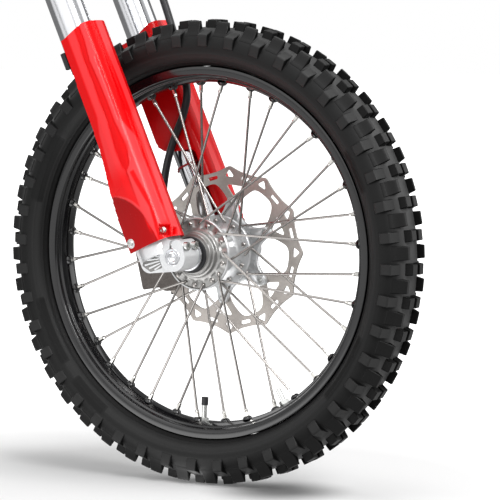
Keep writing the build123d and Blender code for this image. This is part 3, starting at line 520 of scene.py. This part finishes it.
def spokeLine(i):  # hub end, rim end, side, 1 where the wire runs outside the flange or else -1, both angles
    apart = 360 / rim["spokeCount"]
    side = -1 if i % 2 == 0 else 1
    flange = hub["rightFlange"] if side < 0 else hub["leftFlange"]
    lead = 1 if (i // 2) % 2 == 0 else -1
    rimAngle = (i + 0.5) * apart
    hubAngle = rimAngle + lead * 4 * apart
    out = flange + 3.6 if lead > 0 else flange - 5 - 2.2
    hubEnd = wheelPoint(hub["spokeCircle"], hubAngle, side * out)
    rimEnd = wheelPoint(rim["bedRadius"] - 0.8, rimAngle, side * rim["nippleSpread"][0 if lead > 0 else 1])
    return hubEnd, rimEnd, side, lead, rimAngle, hubAngle


def boltAngles():  # of the bolts that hold the disc
    return [hub["boltAngle"] + 360 / hub["boltCount"] * k for k in range(hub["boltCount"])]


def hubRelief(angle, r, y):  # pockets between the spoke holes of the right flange
    if y > -41.5 or r < 39.5:
        return r, y
    pocket = 0.5 - 0.5 * math.cos(math.radians(hub["pockets"] * (angle - hub["pocketPhase"])))
    depth = hub["pocketDepth"] * (pocket ** 0.7 + 0.25) / 1.25
    return r, y + depth * step(r, *hub["pocketFall"]) * (1 - step(r, *hub["pocketRise"]))


def lobeRelief(angle, r, y):
    if r < 60:
        return r, y
    apart = 360 / hub["boltCount"]
    turn = (angle - hub["boltAngle"]) % apart
    return r - 100 + between(min(turn, apart - turn), hub["lobe"]), y


def makeHub():
    profile = hub["profile"]
    face = next(i for i, (r, y) in enumerate(profile) if r > hub["faceRadius"])
    shapes = [turned(profile[face:], 216, False), turned(hub["plate"], 288, True, lobeRelief)]
    for turn in boltAngles():
        place = placeAt(wheelPoint(hub["boltCircle"], turn, 44.6), -leftDir)
        shapes.append(turnedAt(place, hub["boltEnd"], 20))
    makePiece("wheelHub", shapes, "wheel", "hubAlloy", ["hub"], 30)
    pocketed = turned(profile[:face + 1], 216, False, hubRelief)
    makePiece("hubPocketFace", [pocketed], "wheel", "hubSatin", ["hub"], 30)


disc = {
    "middle": 54.0,  # from the middle plane
    "wall": 3.2,
    "edge": 0.35,
    "petals": 12,
    # outer edge: degrees from a petal's tip, radius; inner edge: degrees from a bolt, radius
    "outer": ((0, 130.0), (1.2, 129.4), (3, 127.6), (5, 125.8), (8, 123.6), (11, 122.4), (15, 122.0)),
    "inner": ((0, 66.4), (3.4, 67.2), (6.2, 70.0), (7.4, 74.0), (8.6, 79.0), (12.2, 88.0), (15.2, 95.0),
              (17.8, 101.0), (20.5, 104.4), (24, 105.8), (30, 106.0)),
    # openings: corners as radius and offset, and how far they are rounded
    "tipOpening": (((125.4, 1.0), (113.2, 9.6), (113.2, -9.6)), 3.0),
    "valleyOpening": (((116.6, 8.6), (111.0, 8.6), (111.0, -8.6), (116.6, -8.6)), 2.6),
    "armOpening": (((81.5, 0.0), (100.8, -17.5), (100.8, 17.5)), 3.4),
    "boltHole": 3.4,
    "boltHead": ((6.6, 0), (6.6, 1.2), (6.0, 2.8), (4.6, 4.0), (3.1, 4.3), (2.9, 2.0)),
    "boltShank": ((3.3, 0), (3.3, 10.6), (2.6, 11.2)),
}


def ringLoop(table, period, turn, steps):  # a closed line whose radius repeats round the wheel
    loop = []
    for i in range(steps):
        angle = 360 * i / steps
        off = (angle - turn) % period
        a, r = math.radians(angle), between(min(off, period - off), table)
        loop.append((r * math.cos(a), r * math.sin(a)))
    return loop


def roundedLoop(corners, radius, turn):  # closed line through (radius, offset) corners, turned about the axle
    loop = []
    a = math.radians(turn)
    arc, count = 5, len(corners)
    for i, corner in enumerate(corners):
        here, back, ahead = Vector(corner), Vector(corners[i - 1]), Vector(corners[(i + 1) % count])
        one, two = (back - here).normalized(), (ahead - here).normalized()
        half = one.angle(two) / 2
        run = radius / math.tan(half)
        for k in range(arc + 1):
            t = k / arc
            p = (here + one * run) * (1 - t) ** 2 + here * 2 * t * (1 - t) + (here + two * run) * t ** 2
            loop.append((p.x * math.cos(a) - p.y * math.sin(a), p.x * math.sin(a) + p.y * math.cos(a)))
    return loop


def roundLoop(radius, offset, turn):
    a, sides = math.radians(turn), 14
    return [(offset * math.cos(a) + radius * math.cos(2 * math.pi * i / sides),
             offset * math.sin(a) + radius * math.sin(2 * math.pi * i / sides)) for i in range(sides)]


def platePiece(loops, middle, wall, edge):  # flat plate with holes, square to the axle
    curve = bpy.data.curves.new("outline", "CURVE")
    curve.dimensions = "2D"
    curve.fill_mode = "BOTH"
    curve.extrude = wall / 2 - edge
    curve.bevel_depth = edge
    curve.bevel_resolution = 1
    curve.offset = -edge
    for loop in loops:
        spline = curve.splines.new("POLY")
        spline.points.add(len(loop) - 1)
        spline.use_cyclic_u = True
        for point, (x, z) in zip(spline.points, loop):
            point.co = (x, z, 0, 1)
    obj = bpy.data.objects.new("outline", curve)
    mesh = bmesh.new()
    mesh.from_mesh(obj.to_mesh())
    bmesh.ops.remove_doubles(mesh, verts=mesh.verts, dist=0.002)
    mesh.verts.index_update()
    shape = ([Vector((v.co.x, middle - v.co.z, v.co.y)) for v in mesh.verts],
             [tuple(v.index for v in f.verts) for f in mesh.faces])
    mesh.free()
    obj.to_mesh_clear()
    bpy.data.objects.remove(obj)
    bpy.data.curves.remove(curve)
    return shape


def makeDisc():
    petal = 360 / disc["petals"]
    loops = [ringLoop(disc["outer"], petal, 0, 288),
             ringLoop(disc["inner"], 360 / hub["boltCount"], hub["boltAngle"], 288)]
    for k in range(disc["petals"]):
        loops.append(roundedLoop(*disc["tipOpening"], petal * k))
        loops.append(roundedLoop(*disc["valleyOpening"], petal * k + petal / 2))
    for turn in boltAngles():
        loops.append(roundedLoop(*disc["armOpening"], turn))
        loops.append(roundLoop(disc["boltHole"], hub["boltCircle"], turn))
    plate = platePiece(loops, disc["middle"], disc["wall"], disc["edge"])
    makePiece("brakeRotor", [plate], "wheel", "discSteel", ["brake_disc"], 20)
    bolts = []
    for turn in boltAngles():
        centre = wheelPoint(hub["boltCircle"], turn, disc["middle"] + disc["wall"] / 2 - 0.2)
        bolts.append(turnedAt(placeAt(centre, leftDir), disc["boltHead"], 18))
        bolts.append(turnedAt(placeAt(centre - 2 * leftDir, -leftDir), disc["boltShank"], 14))
    makePiece("rotorBolts", bolts, "wheel", "zincSteel", ["disc_bolts"], 35)


spindle = {  # from the right end's hollow head to the left end
    "profile": ((0.02, -115.4), (3.0, -115.3), (4.4, -114.6), (6.4, -114.5), (7.4, -115.1), (8.4, -115.1),
                (9.2, -114.5), (10.6, -114.5), (11.2, -115.4), (12.6, -115.5), (13.2, -114.9), (13.2, -113.6),
                (10.0, -113.6), (10.0, 124.5), (7.0, 124.5), (7.0, -110.0), (0.02, -110.0)),
}


def makeAxle():
    makePiece("wheelAxle", [turned(spindle["profile"], 64)], "fork", "brightSteel", ["axle"], 30)


def makeRim():
    half = list(rim["half"])
    shapes = [turned(half + [(r, -y) for r, y in reversed(half[1:])], 180)]
    tip = rim["bedRadius"] - rim["bossTip"]
    boss = [(r, share * tip) for r, share in rim["boss"]]
    for i in range(rim["spokeCount"]):
        _, rimEnd, _, _, rimAngle, _ = spokeLine(i)
        place = placeAt(wheelPoint(rim["bedRadius"] + 0.6, rimAngle, rimEnd.y), wheelPoint(-1, rimAngle, 0), leftDir)
        shapes.append(turnedAt(place, boss, 16))
    makePiece("wheelRim", shapes, "wheel", "blackRim", ["rim"], 40)


spoke = {
    "radius": 1.9,
    "elbow": ((7, 0), (4.2, 0), (1.9, 0.5), (0.5, 1.9), (0, 4.4)),  # steps along the wire and through the flange
    "through": (7.4, 2.4),  # from the flange's face to the head, for a head inside it and one outside
    "head": ((2.2, -0.8), (3.6, 0.0), (3.9, 0.8), (3.2, 1.7), (1.8, 2.3)),
    "nippleStart": 15,  # inward of the spoke's end
    "nippleCollar": ((2.4, 0), (2.9, 0.5), (2.9, 3.4), (2.4, 3.8)),
    "nippleHex": ((3.0, 3.8), (3.5, 4.3), (3.5, 11.5), (3.0, 12.0)),
    "nippleNeck": ((2.7, 12.0), (2.7, 18.0)),
}


def makeSpokes():
    wires = {-1: [], 1: []}
    nipples = []
    for i in range(rim["spokeCount"]):
        hubEnd, rimEnd, side, lead, _, hubAngle = spokeLine(i)
        way = (rimEnd - hubEnd).normalized()
        flange = hub["rightFlange"] if side < 0 else hub["leftFlange"]
        headY = side * (flange - spoke["through"][0]) if lead > 0 else side * (flange + spoke["through"][1])
        start = wheelPoint(hub["spokeCircle"], hubAngle, 0)
        through = Vector((start.x, headY, start.z))
        across = (through - hubEnd).normalized()
        path = [rimEnd - way * 12, rimEnd - way * 60, hubEnd + way * 60]
        path += [hubEnd + way * along + across * deep for along, deep in spoke["elbow"]] + [through]
        wires[side].append(tube(path, spoke["radius"], 10))
        wires[side].append(turnedAt(placeAt(through, through - hubEnd, way), spoke["head"], 12))
        place = placeAt(rimEnd - way * spoke["nippleStart"], way)
        nipples.append(turnedAt(place, spoke["nippleCollar"], 12))
        nipples.append(turnedAt(place, spoke["nippleHex"], 6))
        nipples.append(turnedAt(place, spoke["nippleNeck"], 12))
    makePiece("spokesRightFlange", wires[-1], "wheel", "spokeSteel", ["spokes_right"], 40)
    makePiece("spokesLeftFlange", wires[1], "wheel", "spokeSteel", ["spokes_left"], 40)
    makePiece("spokeNipples", nipples, "wheel", "nippleMetal", ["nipples"], 30)


makeRim()
makeSpokes()
makeHub()
makeDisc()
makeAxle()
print("rim, spokes, hub, disc and axle made")

guard = {
    "foot": 30.0,
    "topFront": 383.0,
    "topRear": 371.0,
    "wall": 2.6,
    "rows": (60, 90),  # below and above the split
    "split": 128.0,
    "columns": 120,
    # section from the outer rear edge round the front to the inner one: ahead of the leg axis, out from it
    "section": ((-31, 32.6), (-20, 34.2), (-8, 35.8), (4, 36.8), (16, 36.4), (26, 34.6), (34.5, 30.0),
                (39.6, 23.6), (42.4, 15), (43, 5), (43, -7), (42.4, -16), (40.2, -23), (36, -28), (30, -30.6),
                (22, -31), (8, -31), (-12, -31), (-31, -31)),
    # its rear edges: height up the leg, place ahead of the leg axis
    "outerRear": ((30, -27.5), (85, -27.5), (110, -25.5), (140, -20.5), (170, -15.5), (200, -12.0), (264, -10.8),
                  (371, -9.6)),
    "innerRear": ((30, 30), (160, 30), (166, 27), (171, 18), (176, 5), (182, -12), (188, -24), (196, -30),
                  (204, -31)),
    # lines of the outer face, likewise
    "channelRear": ((146, 19), (154, 14.5), (182, 13.5), (229, 18), (263, 17.2), (296, 17.9), (330, 17),
                    (361, 19.4)),
    "channelFront": ((146, 20), (154, 29), (174, 34.3), (182, 35.5), (222, 31), (257, 31), (290, 29.5),
                     (324, 27), (356, 31)),
    "panelFront": ((30, 29), (45, 27), (58, 24.5), (73, 21), (85, 16), (98, 8), (108, -1), (116, -12),
                   (122, -28)),
    "loop": ((116, -21), (123, -9), (129.5, 4.5), (136, 16), (142, 25.7), (158, 34.8)),
    # borders of the painted highlight and painted shade bands, likewise
    "highlightRear": ((150, -9), (215, -2), (240, 5)),
    "highlightFront": ((190, 57), (205, 50), (225, 42), (340, 41)),
    "cornerHighlight": ((60, 61), (190, 66), (225, 64.5), (270, 64), (345, 62)),
    "border": ((30, 33), (52, 36), (66, 38), (82, 40), (102, 37), (122, 33), (142, 30)),
    "borderWide": ((40, 2), (100, 5)),
    "recess": (48.0, 39.6),  # front bolt
    "hole": (64.5, 31.4),
    "level": (0.9135, 0.4067),  # cosine and sine of the legs' rake
    "bend": 37,  # out from the leg axis, where the face bends round to the front
    "slant": (0.607, 0.179),  # how a drawn line runs ahead and down past the bend
    "screws": ((-19.2, 32.4, 44.0, 6.6), (34.7, 20.5, 43.0, 5.6)),  # ahead, out, up the leg, head radius
    "screwSocket": ((4.9, 1.5), (4.8, 3.6), (4.2, 4.3), (2.6, 4.3), (2.4, 2.4)),
}


def inside(value, low, high, soft):
    return step(value, low - soft, low + soft) * (1 - step(value, high - soft, high + soft))


def pad(ahead, up, centre, halfWide, halfTall):  # 1 inside a rectangle level with the ground, 0 outside
    dq, ds = ahead - centre[0], up - centre[1]
    cosine, sine = guard["level"]
    x, z = cosine * dq - sine * ds, sine * dq + cosine * ds
    return inside(x, -halfWide, halfWide, 0.8) * inside(z, -halfTall, halfTall, 0.8)


def onFace(q, o, s):  # ahead and up as the lines are drawn, unrolled past the bend
    past = guard["bend"] - o
    return q + guard["slant"][0] * past, s - guard["slant"][1] * past


def guardRelief(q, o, s):  # height of the moulded features
    if o < -12:
        return 0.0
    ahead, up = onFace(q, o, s)
    rear, front = between(up, guard["channelRear"]), between(up, guard["channelFront"])
    panel = between(up, guard["panelFront"])
    raised = step(ahead, panel - 0.6, panel + 1.8)
    height = -1.5 * (1 - raised)  # behind the raised panel
    if ahead < 66:
        above = step(up, 96, 128)  # dished up to the channel
        height -= raised * 1.3 * step(ahead, 5, rear) * above * (1 - step(ahead, rear, rear + 1.4))
        height -= raised * 1.7 * inside(ahead, rear, front, 0.7) * step(up, 143, 150)  # channel
        height -= 1.0 * inside(ahead, 38.6, 40.6, 0.7) * step(up, 218, 226) * (1 - step(up, 322, 330))  # groove
        height -= 1.2 * inside(ahead, 57, 60.5, 1.0) * step(up, 66, 82)  # crease along the front
        loop = between(up, guard["loop"])
        ends = step(up, 114, 118) * (1 - step(up, 160, 172))
        height -= 0.8 * inside(ahead, loop - 0.6, loop + 1.6, 0.8) * ends  # groove round the foot's panel
    height -= 6.5 * pad(ahead, up, guard["recess"], 10.2, 7.4)
    height -= 7.5 * pad(ahead, up, guard["hole"], 3.6, 5.0)
    return height


def guardPaintedLight(q, o, s):  # painted light: 0 painted shade, 0.5 plain, 1 on the painted highlight bands
    # painted shade on the inside faces
    if o < -12:
        return 0.2
    ahead, up = onFace(q, o, s)
    rear, front = between(up, guard["channelRear"]), between(up, guard["channelFront"])
    panel = between(up, guard["panelFront"])
    highlightFront, cornerHighlight = between(up, guard["highlightFront"]), between(up, guard["cornerHighlight"])
    tone = 0.42
    # painted highlight bands: behind the channel, ahead of it, low on the panel, along its edge, on the front corner
    tone += 0.42 * inside(ahead, between(up, guard["highlightRear"]), rear, 2.2) * step(up, 128, 170)
    tone += 0.5 * inside(ahead, front + 1, max(highlightFront, 57 if up < 190 else 0), 2.0) * step(up, 40, 60)
    tone += 0.16 * (1 - step(up, 120, 160)) * step(ahead, panel, panel + 4)
    tone += 0.45 * inside(ahead, panel + 1.0, panel + 5.5, 1.2) * (1 - step(up, 112, 122))
    tone += 0.4 * step(ahead, cornerHighlight - 1, cornerHighlight + 1.5) * (1 - step(ahead, cornerHighlight + 10, cornerHighlight + 15))
    tone = min(tone, 0.98)
    if up < 143:  # the plain border between the foot's bands
        border, wide = between(up, guard["border"]), between(up, guard["borderWide"])
        tone = tone + (0.46 - tone) * inside(ahead, border - wide, border + 3, 1.6)
    # in shade: behind the panel, in the recess and the hole, and towards the far side
    tone -= (0.34 + 0.0012 * (up - 40)) * (1 - step(ahead, panel - 1.5, panel + 1))
    tone -= 0.4 * pad(ahead, up, guard["recess"], 10.6, 7.8) + 0.6 * pad(ahead, up, guard["hole"], 3.8, 5.4)
    tone -= 0.25 * step(ahead, 73, 84)
    return max(tone, 0.0)


def makeGuard(side, name):
    section = smoothLine(guard["section"], 10)
    reach = [0.0]
    for a, b in zip(section, section[1:]):
        reach.append(reach[-1] + math.dist(a, b))
    below, above = guard["rows"]
    split = (guard["split"] - guard["foot"]) / (guard["topRear"] - guard["foot"])
    levels = [split * i / below for i in range(below)]
    levels += [split + (1 - split) * i / (above - 1) for i in range(above)]
    rows, columns = below + above, guard["columns"]
    points, normals, tones = [], [], []
    for v in levels:
        level = guard["foot"] + (guard["topRear"] - guard["foot"]) * v
        startQ, endQ = between(level, guard["outerRear"]), between(level, guard["innerRear"])
        start = next(reach[k] for k in range(len(section)) if section[k][0] >= startQ)
        end = next(reach[k] for k in range(len(section) - 1, 0, -1) if section[k][0] >= endQ)
        k = 1
        for j in range(columns):
            along = start + (end - start) * j / (columns - 1)
            while k < len(reach) - 1 and reach[k] < along:
                k += 1
            t = (along - reach[k - 1]) / (reach[k] - reach[k - 1])
            last, here = section[k - 1], section[k]
            q, o = (last[n] + (here[n] - last[n]) * t for n in (0, 1))
            tangent = Vector((here[0] - last[0], here[1] - last[1])).normalized()
            normal = Vector((-tangent.y, tangent.x))
            top = guard["topRear"] + (guard["topFront"] - guard["topRear"]) * step(q, -10, 43)
            s = guard["foot"] + (top - guard["foot"]) * v
            height = guardRelief(q, o, s)
            points.append((q + normal.x * height, o + normal.y * height, s))
            normals.append(normal)
            tones.append(guardPaintedLight(q, o, s))
    wall = guard["wall"]
    outer = [legPoint(side, q, o, s) for q, o, s in points]
    inner = [legPoint(side, q - wall * n.x, o - wall * n.y, s) for (q, o, s), n in zip(points, normals)]
    faces = joinGrid(rows, columns)
    count = rows * columns
    faces += [tuple(count + k for k in reversed(face)) for face in joinGrid(rows, columns)]
    ring = list(range(columns)) + [columns * r + columns - 1 for r in range(1, rows)]
    ring += list(range(count - 2, count - columns - 1, -1)) + [columns * r for r in range(rows - 2, 0, -1)]
    for a, b in zip(ring, ring[1:] + ring[:1]):
        faces.append((a, b, count + b, count + a))
    obj = makePiece(name, [(outer + inner, faces)], "fork", "redPlastic",
                    ["guard_right" if side < 0 else "guard_left"], 50)
    # painted shade on the inner wall
    setTone(obj, "POINT", tones + [0.1] * count)


def makeGuardBolts():
    bolts = []
    for side in (-1, 1):
        for q, o, s, radius in guard["screws"]:
            place = placeAt(legPoint(side, q, o, s), side * leftDir, foreDir)
            head = [(radius, 0), (radius, 1.0), (radius - 0.6, 1.5), *guard["screwSocket"]]
            bolts.append(turnedAt(place, head, 20))
    makePiece("guardScrews", bolts, "fork", "zincSteel", ["guard_bolts"], 35)


makeGuardBolts()
makeGuard(-1, "forkGuardRight")
makeGuard(1, "forkGuardLeft")
print("guards made")

lug = {  # the casting that holds the axle
    "webHalf": 17.0,  # the web's face beyond the leg axis
    "rake": 24.0,
    # corners ahead of the axle and up the leg
    "recess": ((-52, 24), (-52, 41), (-22, 41), (-22, 24)),
    "recessRim": 2.2,
    "rimRounding": (5.0, 3.6),  # of the raised edge's outer and inner corners
    "heel": ((-24, -8), (-24, 11), (-48, 18), (-56, 8), (-46, -6)),
    "ribs": ((180, 51), (188, 53), (196, 52), (204, 46), (212, 38)),  # angle round the axle, outer radius
}


def shrunk(corners, by):
    middle = sum((Vector(c) for c in corners), Vector((0, 0))) / len(corners)
    return [tuple(Vector(c) + (middle - Vector(c)).normalized() * by * 1.4) for c in corners]


def makeLugDetail(side, name):
    face = side * (layout["halfSpacing"] + lug["webHalf"])
    outer, inner = lug["rimRounding"]
    edge = roundedLoop(lug["recess"], outer, lug["rake"])
    opening = roundedLoop(shrunk(lug["recess"], lug["recessRim"]), inner, lug["rake"])
    raised = [platePiece([edge, opening], face, 2.2, 0.4)]
    for angle, reach in lug["ribs"]:
        rib = [(24, 0.9), (24, -0.9), (reach, -1.3), (reach, 1.3)]
        raised.append(platePiece([roundedLoop(rib, 0.5, angle)], face, 2.4, 0.4))
    makePiece(name + "Ribs", raised, "fork", "castAlloy", (), 30)
    heel = roundedLoop(lug["heel"], 3.0, lug["rake"])
    # painted shade: thin dark sheets in the recess's opening and on the heel
    shadeSheets = [platePiece([line], face, 0.5, 0.1) for line in (opening, heel)]
    makePiece(name + "ShadeSheets", shadeSheets, "fork", "castPaintedShade", (), 30)


rings = {  # round the axle between the right lug and the hub, as (radius, y)
    "collar": ((21.6, -66.0), (23.6, -66.3), (24.0, -67.0), (24.0, -71.0), (23.6, -71.7), (21.6, -72.0)),
    "lip": ((22.2, -60.1), (27.4, -60.1), (27.8, -61.0), (26.8, -63.4), (22.6, -64.2)),
}


def makeAxleRings():
    makePiece("spacerCollar", [turned(rings["collar"], 72)], "fork", "brightSteel", (), 30)
    makePiece("sealLip", [turned(rings["lip"], 72)], "wheel", "blackRubber", (), 30)


makeLugDetail(-1, "lugRight")
makeAxleRings()
print("castings detailed")

# finishes of the solids that stay
solids = {
    "zincSteel": ("valve_stem", "rim_lock", "axle_nut", "caliper_bolts", "pad_pin", "clamp_bolts", "hose_fittings",
                  "pinch_bolts", "stem_nut"),
    "brightSteel": ("hub_bearings", "stanchion_left", "stanchion_right", "steering_stem"),
    "blackRubber": ("hub_seals", "dust_seal_left", "dust_seal_right", "guard_clips"),
    "clampAlloy": ("fork_cap_left", "fork_cap_right", "lower_clamp", "upper_clamp"),
    "castAlloy": ("lug_left", "lug_right"),
    "tubeAlloy": ("outer_tube_left", "outer_tube_right"),
    "hubAlloy": ("spacer_left", "spacer_right"),
    "caliperAlloy": ("caliper",),
    "padLining": ("brake_pads",),
    "hoseCover": ("brake_hose",),
    "blackPlastic": ("valve_cap",),
    "redRubber": ("travel_ring",),
}
for finishName, nodeNames in solids.items():
    for nodeName in nodeNames:
        for slot in frame["nodes"][nodeName].material_slots:
            slot.material = finishes[finishName]
print("solids dressed")


room = {
    "floorSize": 30,
    "paper": 0.7,  # share of the light that the floor gives back
    # the floor's own light, as metres from the wheel and brightness: for the camera, and in polished faces
    "glow": ((0.4, 0.14), (1.4, 1.0)),
    "floor": ((0.5, 0.65), (1.6, 0.24)),
    # painted shadows on the paper: ahead of and left of the wheel's middle, inner and outer radius, share left at
    # its middle
    "paintedShadows": ((0.13, -0.02, 0.015, 0.13, 0.3), (-0.29, 0.08, 0.02, 0.26, 0.74)),
    # what polished faces see of the room: height as a share of the way up, brightness
    "wall": ((0.0, 0.4), (0.06, 1.5)),
    "ceiling": ((0.3, 1.5), (0.8, 2.1)),
    "soft": 0.8,  # what matt faces see of it
    # darker and brighter parts: turn from the camera's own direction towards its right, half width, share
    "floorPanel": ((-62, 30, 4.6),),
    "flags": ((-97, 30, 0.5), (8, 7, 0.5), (66, 20, 0.3), (165, 34, 0.12)),
    # name, place from the wheel centre in metres, width, watts
    "lamps": (("keyLamp", (2.9, -1.6, 2.1), 1.2, 80), ("topLamp", (0.4, -0.2, 3.0), 1.4, 26)),
}


def flagged(tree, way, flags, level):
    for turn, half, share in flags:
        a = math.radians(camera["azimuth"] + turn)
        facing = addNode(tree, "VectorMath",
                         {"operation": "DOT_PRODUCT", 1: (math.sin(a), -math.cos(a), 0)}, {0: way})
        edge = math.cos(math.radians(half))
        soften = 0.25 * (1 - edge) + 0.004
        flag = addNode(tree, "MapRange",
                       {"From Min": edge - soften, "From Max": edge + soften, "To Min": 1.0, "To Max": share},
                       {"Value": facing.outputs["Value"]})
        level = addNode(tree, "Math", {"operation": "MULTIPLY"}, {0: level, 1: flag})
    return level


def makeStage():
    centre = (axle.x, axle.y, tyreLow.z)
    size = room["floorSize"]
    mesh = bpy.data.meshes.new("floor")
    corners = [(-size, -size), (size, -size), (size, size), (-size, size)]
    mesh.from_pydata([(axle.x + x, axle.y + y, tyreLow.z) for x, y in corners], [], [(0, 1, 2, 3)])
    floor = addObject("floor", mesh)
    material, tree = newMaterial("whitePaperFloor")
    place = addNode(tree, "NewGeometry")
    shade = addNode(tree, "Value")
    shade.outputs[0].default_value = 1.0
    for ahead, left, inner, outer, share in room["paintedShadows"]:
        reach = addNode(tree, "VectorMath",
                        {"operation": "DISTANCE", 1: (axle.x + ahead, axle.y + left, tyreLow.z)},
                        {0: place.outputs["Position"]})
        shadowPool = addNode(tree, "MapRange", {"interpolation_type": "SMOOTHSTEP", "From Min": inner, "From Max": outer,
                                          "To Min": share, "To Max": 1.0}, {"Value": reach.outputs["Value"]})
        shade = addNode(tree, "Math", {"operation": "MULTIPLY"}, {0: shade, 1: shadowPool})
    grey = addNode(tree, "Math", {"operation": "MULTIPLY", 1: room["paper"]}, {0: shade})
    paper = addNode(tree, "BsdfDiffuse", links={"Color": grey})
    away = addNode(tree, "VectorMath", {"operation": "DISTANCE", 1: centre}, {0: place.outputs["Position"]})

    def byDistance(near, far):
        return addNode(tree, "MapRange",
                       {"From Min": near[0], "From Max": far[0], "To Min": near[1], "To Max": far[1]},
                       {"Value": away.outputs["Value"]})

    lit = addNode(tree, "Math", {"operation": "MULTIPLY"}, {0: byDistance(*room["glow"]), 1: shade})
    glow = addNode(tree, "Emission", links={"Strength": lit})
    path = addNode(tree, "LightPath")
    dark = addNode(tree, "Emission", {"Strength": 0})
    pick = addNode(tree, "MixShader", links={0: path.outputs["Is Camera Ray"], 1: dark, 2: glow})
    both = addNode(tree, "AddShader", links={0: paper, 1: pick})
    offset = addNode(tree, "VectorMath", {"operation": "SUBTRACT", 1: centre}, {0: place.outputs["Position"]})
    way = addNode(tree, "VectorMath", {"operation": "NORMALIZE"}, {0: offset})
    level = flagged(tree, way, room["floorPanel"], byDistance(*room["floor"]))
    mirrored = addNode(tree, "Emission", links={"Strength": level})
    last = addNode(tree, "MixShader", links={0: path.outputs["Is Glossy Ray"], 1: both, 2: mirrored})
    finish(tree, last)
    mesh.materials.append(material)


def makeWorld():
    world = bpy.data.worlds.new("studio")
    bpy.context.scene.world = world
    world.use_nodes = True
    tree = world.node_tree
    tree.nodes.clear()
    white = (1, 1, 1, 1)
    path = addNode(tree, "LightPath")
    soft = addNode(tree, "Background", {"Color": white, "Strength": room["soft"]})
    backdrop = addNode(tree, "Background", {"Color": white, "Strength": 1.0})
    place = addNode(tree, "TexCoord")
    parts = addNode(tree, "SeparateXYZ", links={0: place.outputs["Generated"]})

    def byHeight(low, high, less=0.0):
        return addNode(tree, "MapRange",
                       {"From Min": low[0], "From Max": high[0], "To Min": low[1] - less, "To Max": high[1] - less},
                       {"Value": parts.outputs["Z"]})

    low, high = byHeight(*room["wall"]), byHeight(*room["ceiling"], room["ceiling"][0][1])
    total = addNode(tree, "Math", {"operation": "ADD"}, {0: low, 1: high})
    flat = addNode(tree, "VectorMath", {"operation": "MULTIPLY", 1: (1, 1, 0)}, {0: place.outputs["Generated"]})
    level = addNode(tree, "VectorMath", {"operation": "NORMALIZE"}, {0: flat})
    total = flagged(tree, level, room["flags"], total)
    seen = addNode(tree, "Background", {"Color": white}, {"Strength": total})
    glossy = addNode(tree, "MixShader", links={0: path.outputs["Is Glossy Ray"], 1: soft, 2: seen})
    pick = addNode(tree, "MixShader", links={0: path.outputs["Is Camera Ray"], 1: glossy, 2: backdrop})
    addNode(tree, "OutputWorld", links={"Surface": pick})


def makeLamp(name, place, width, watts):
    data = bpy.data.lights.new(name, "AREA")
    data.shape = "RECTANGLE"
    data.size, data.size_y = width, width
    data.energy = watts
    obj = addObject(name, data)
    obj.location = axle + Vector(place)
    obj.rotation_euler = (axle - obj.location).to_track_quat("-Z", "Y").to_euler()


makeStage()
makeWorld()
for lamp in room["lamps"]:
    makeLamp(*lamp)
print("stage and lights in place")
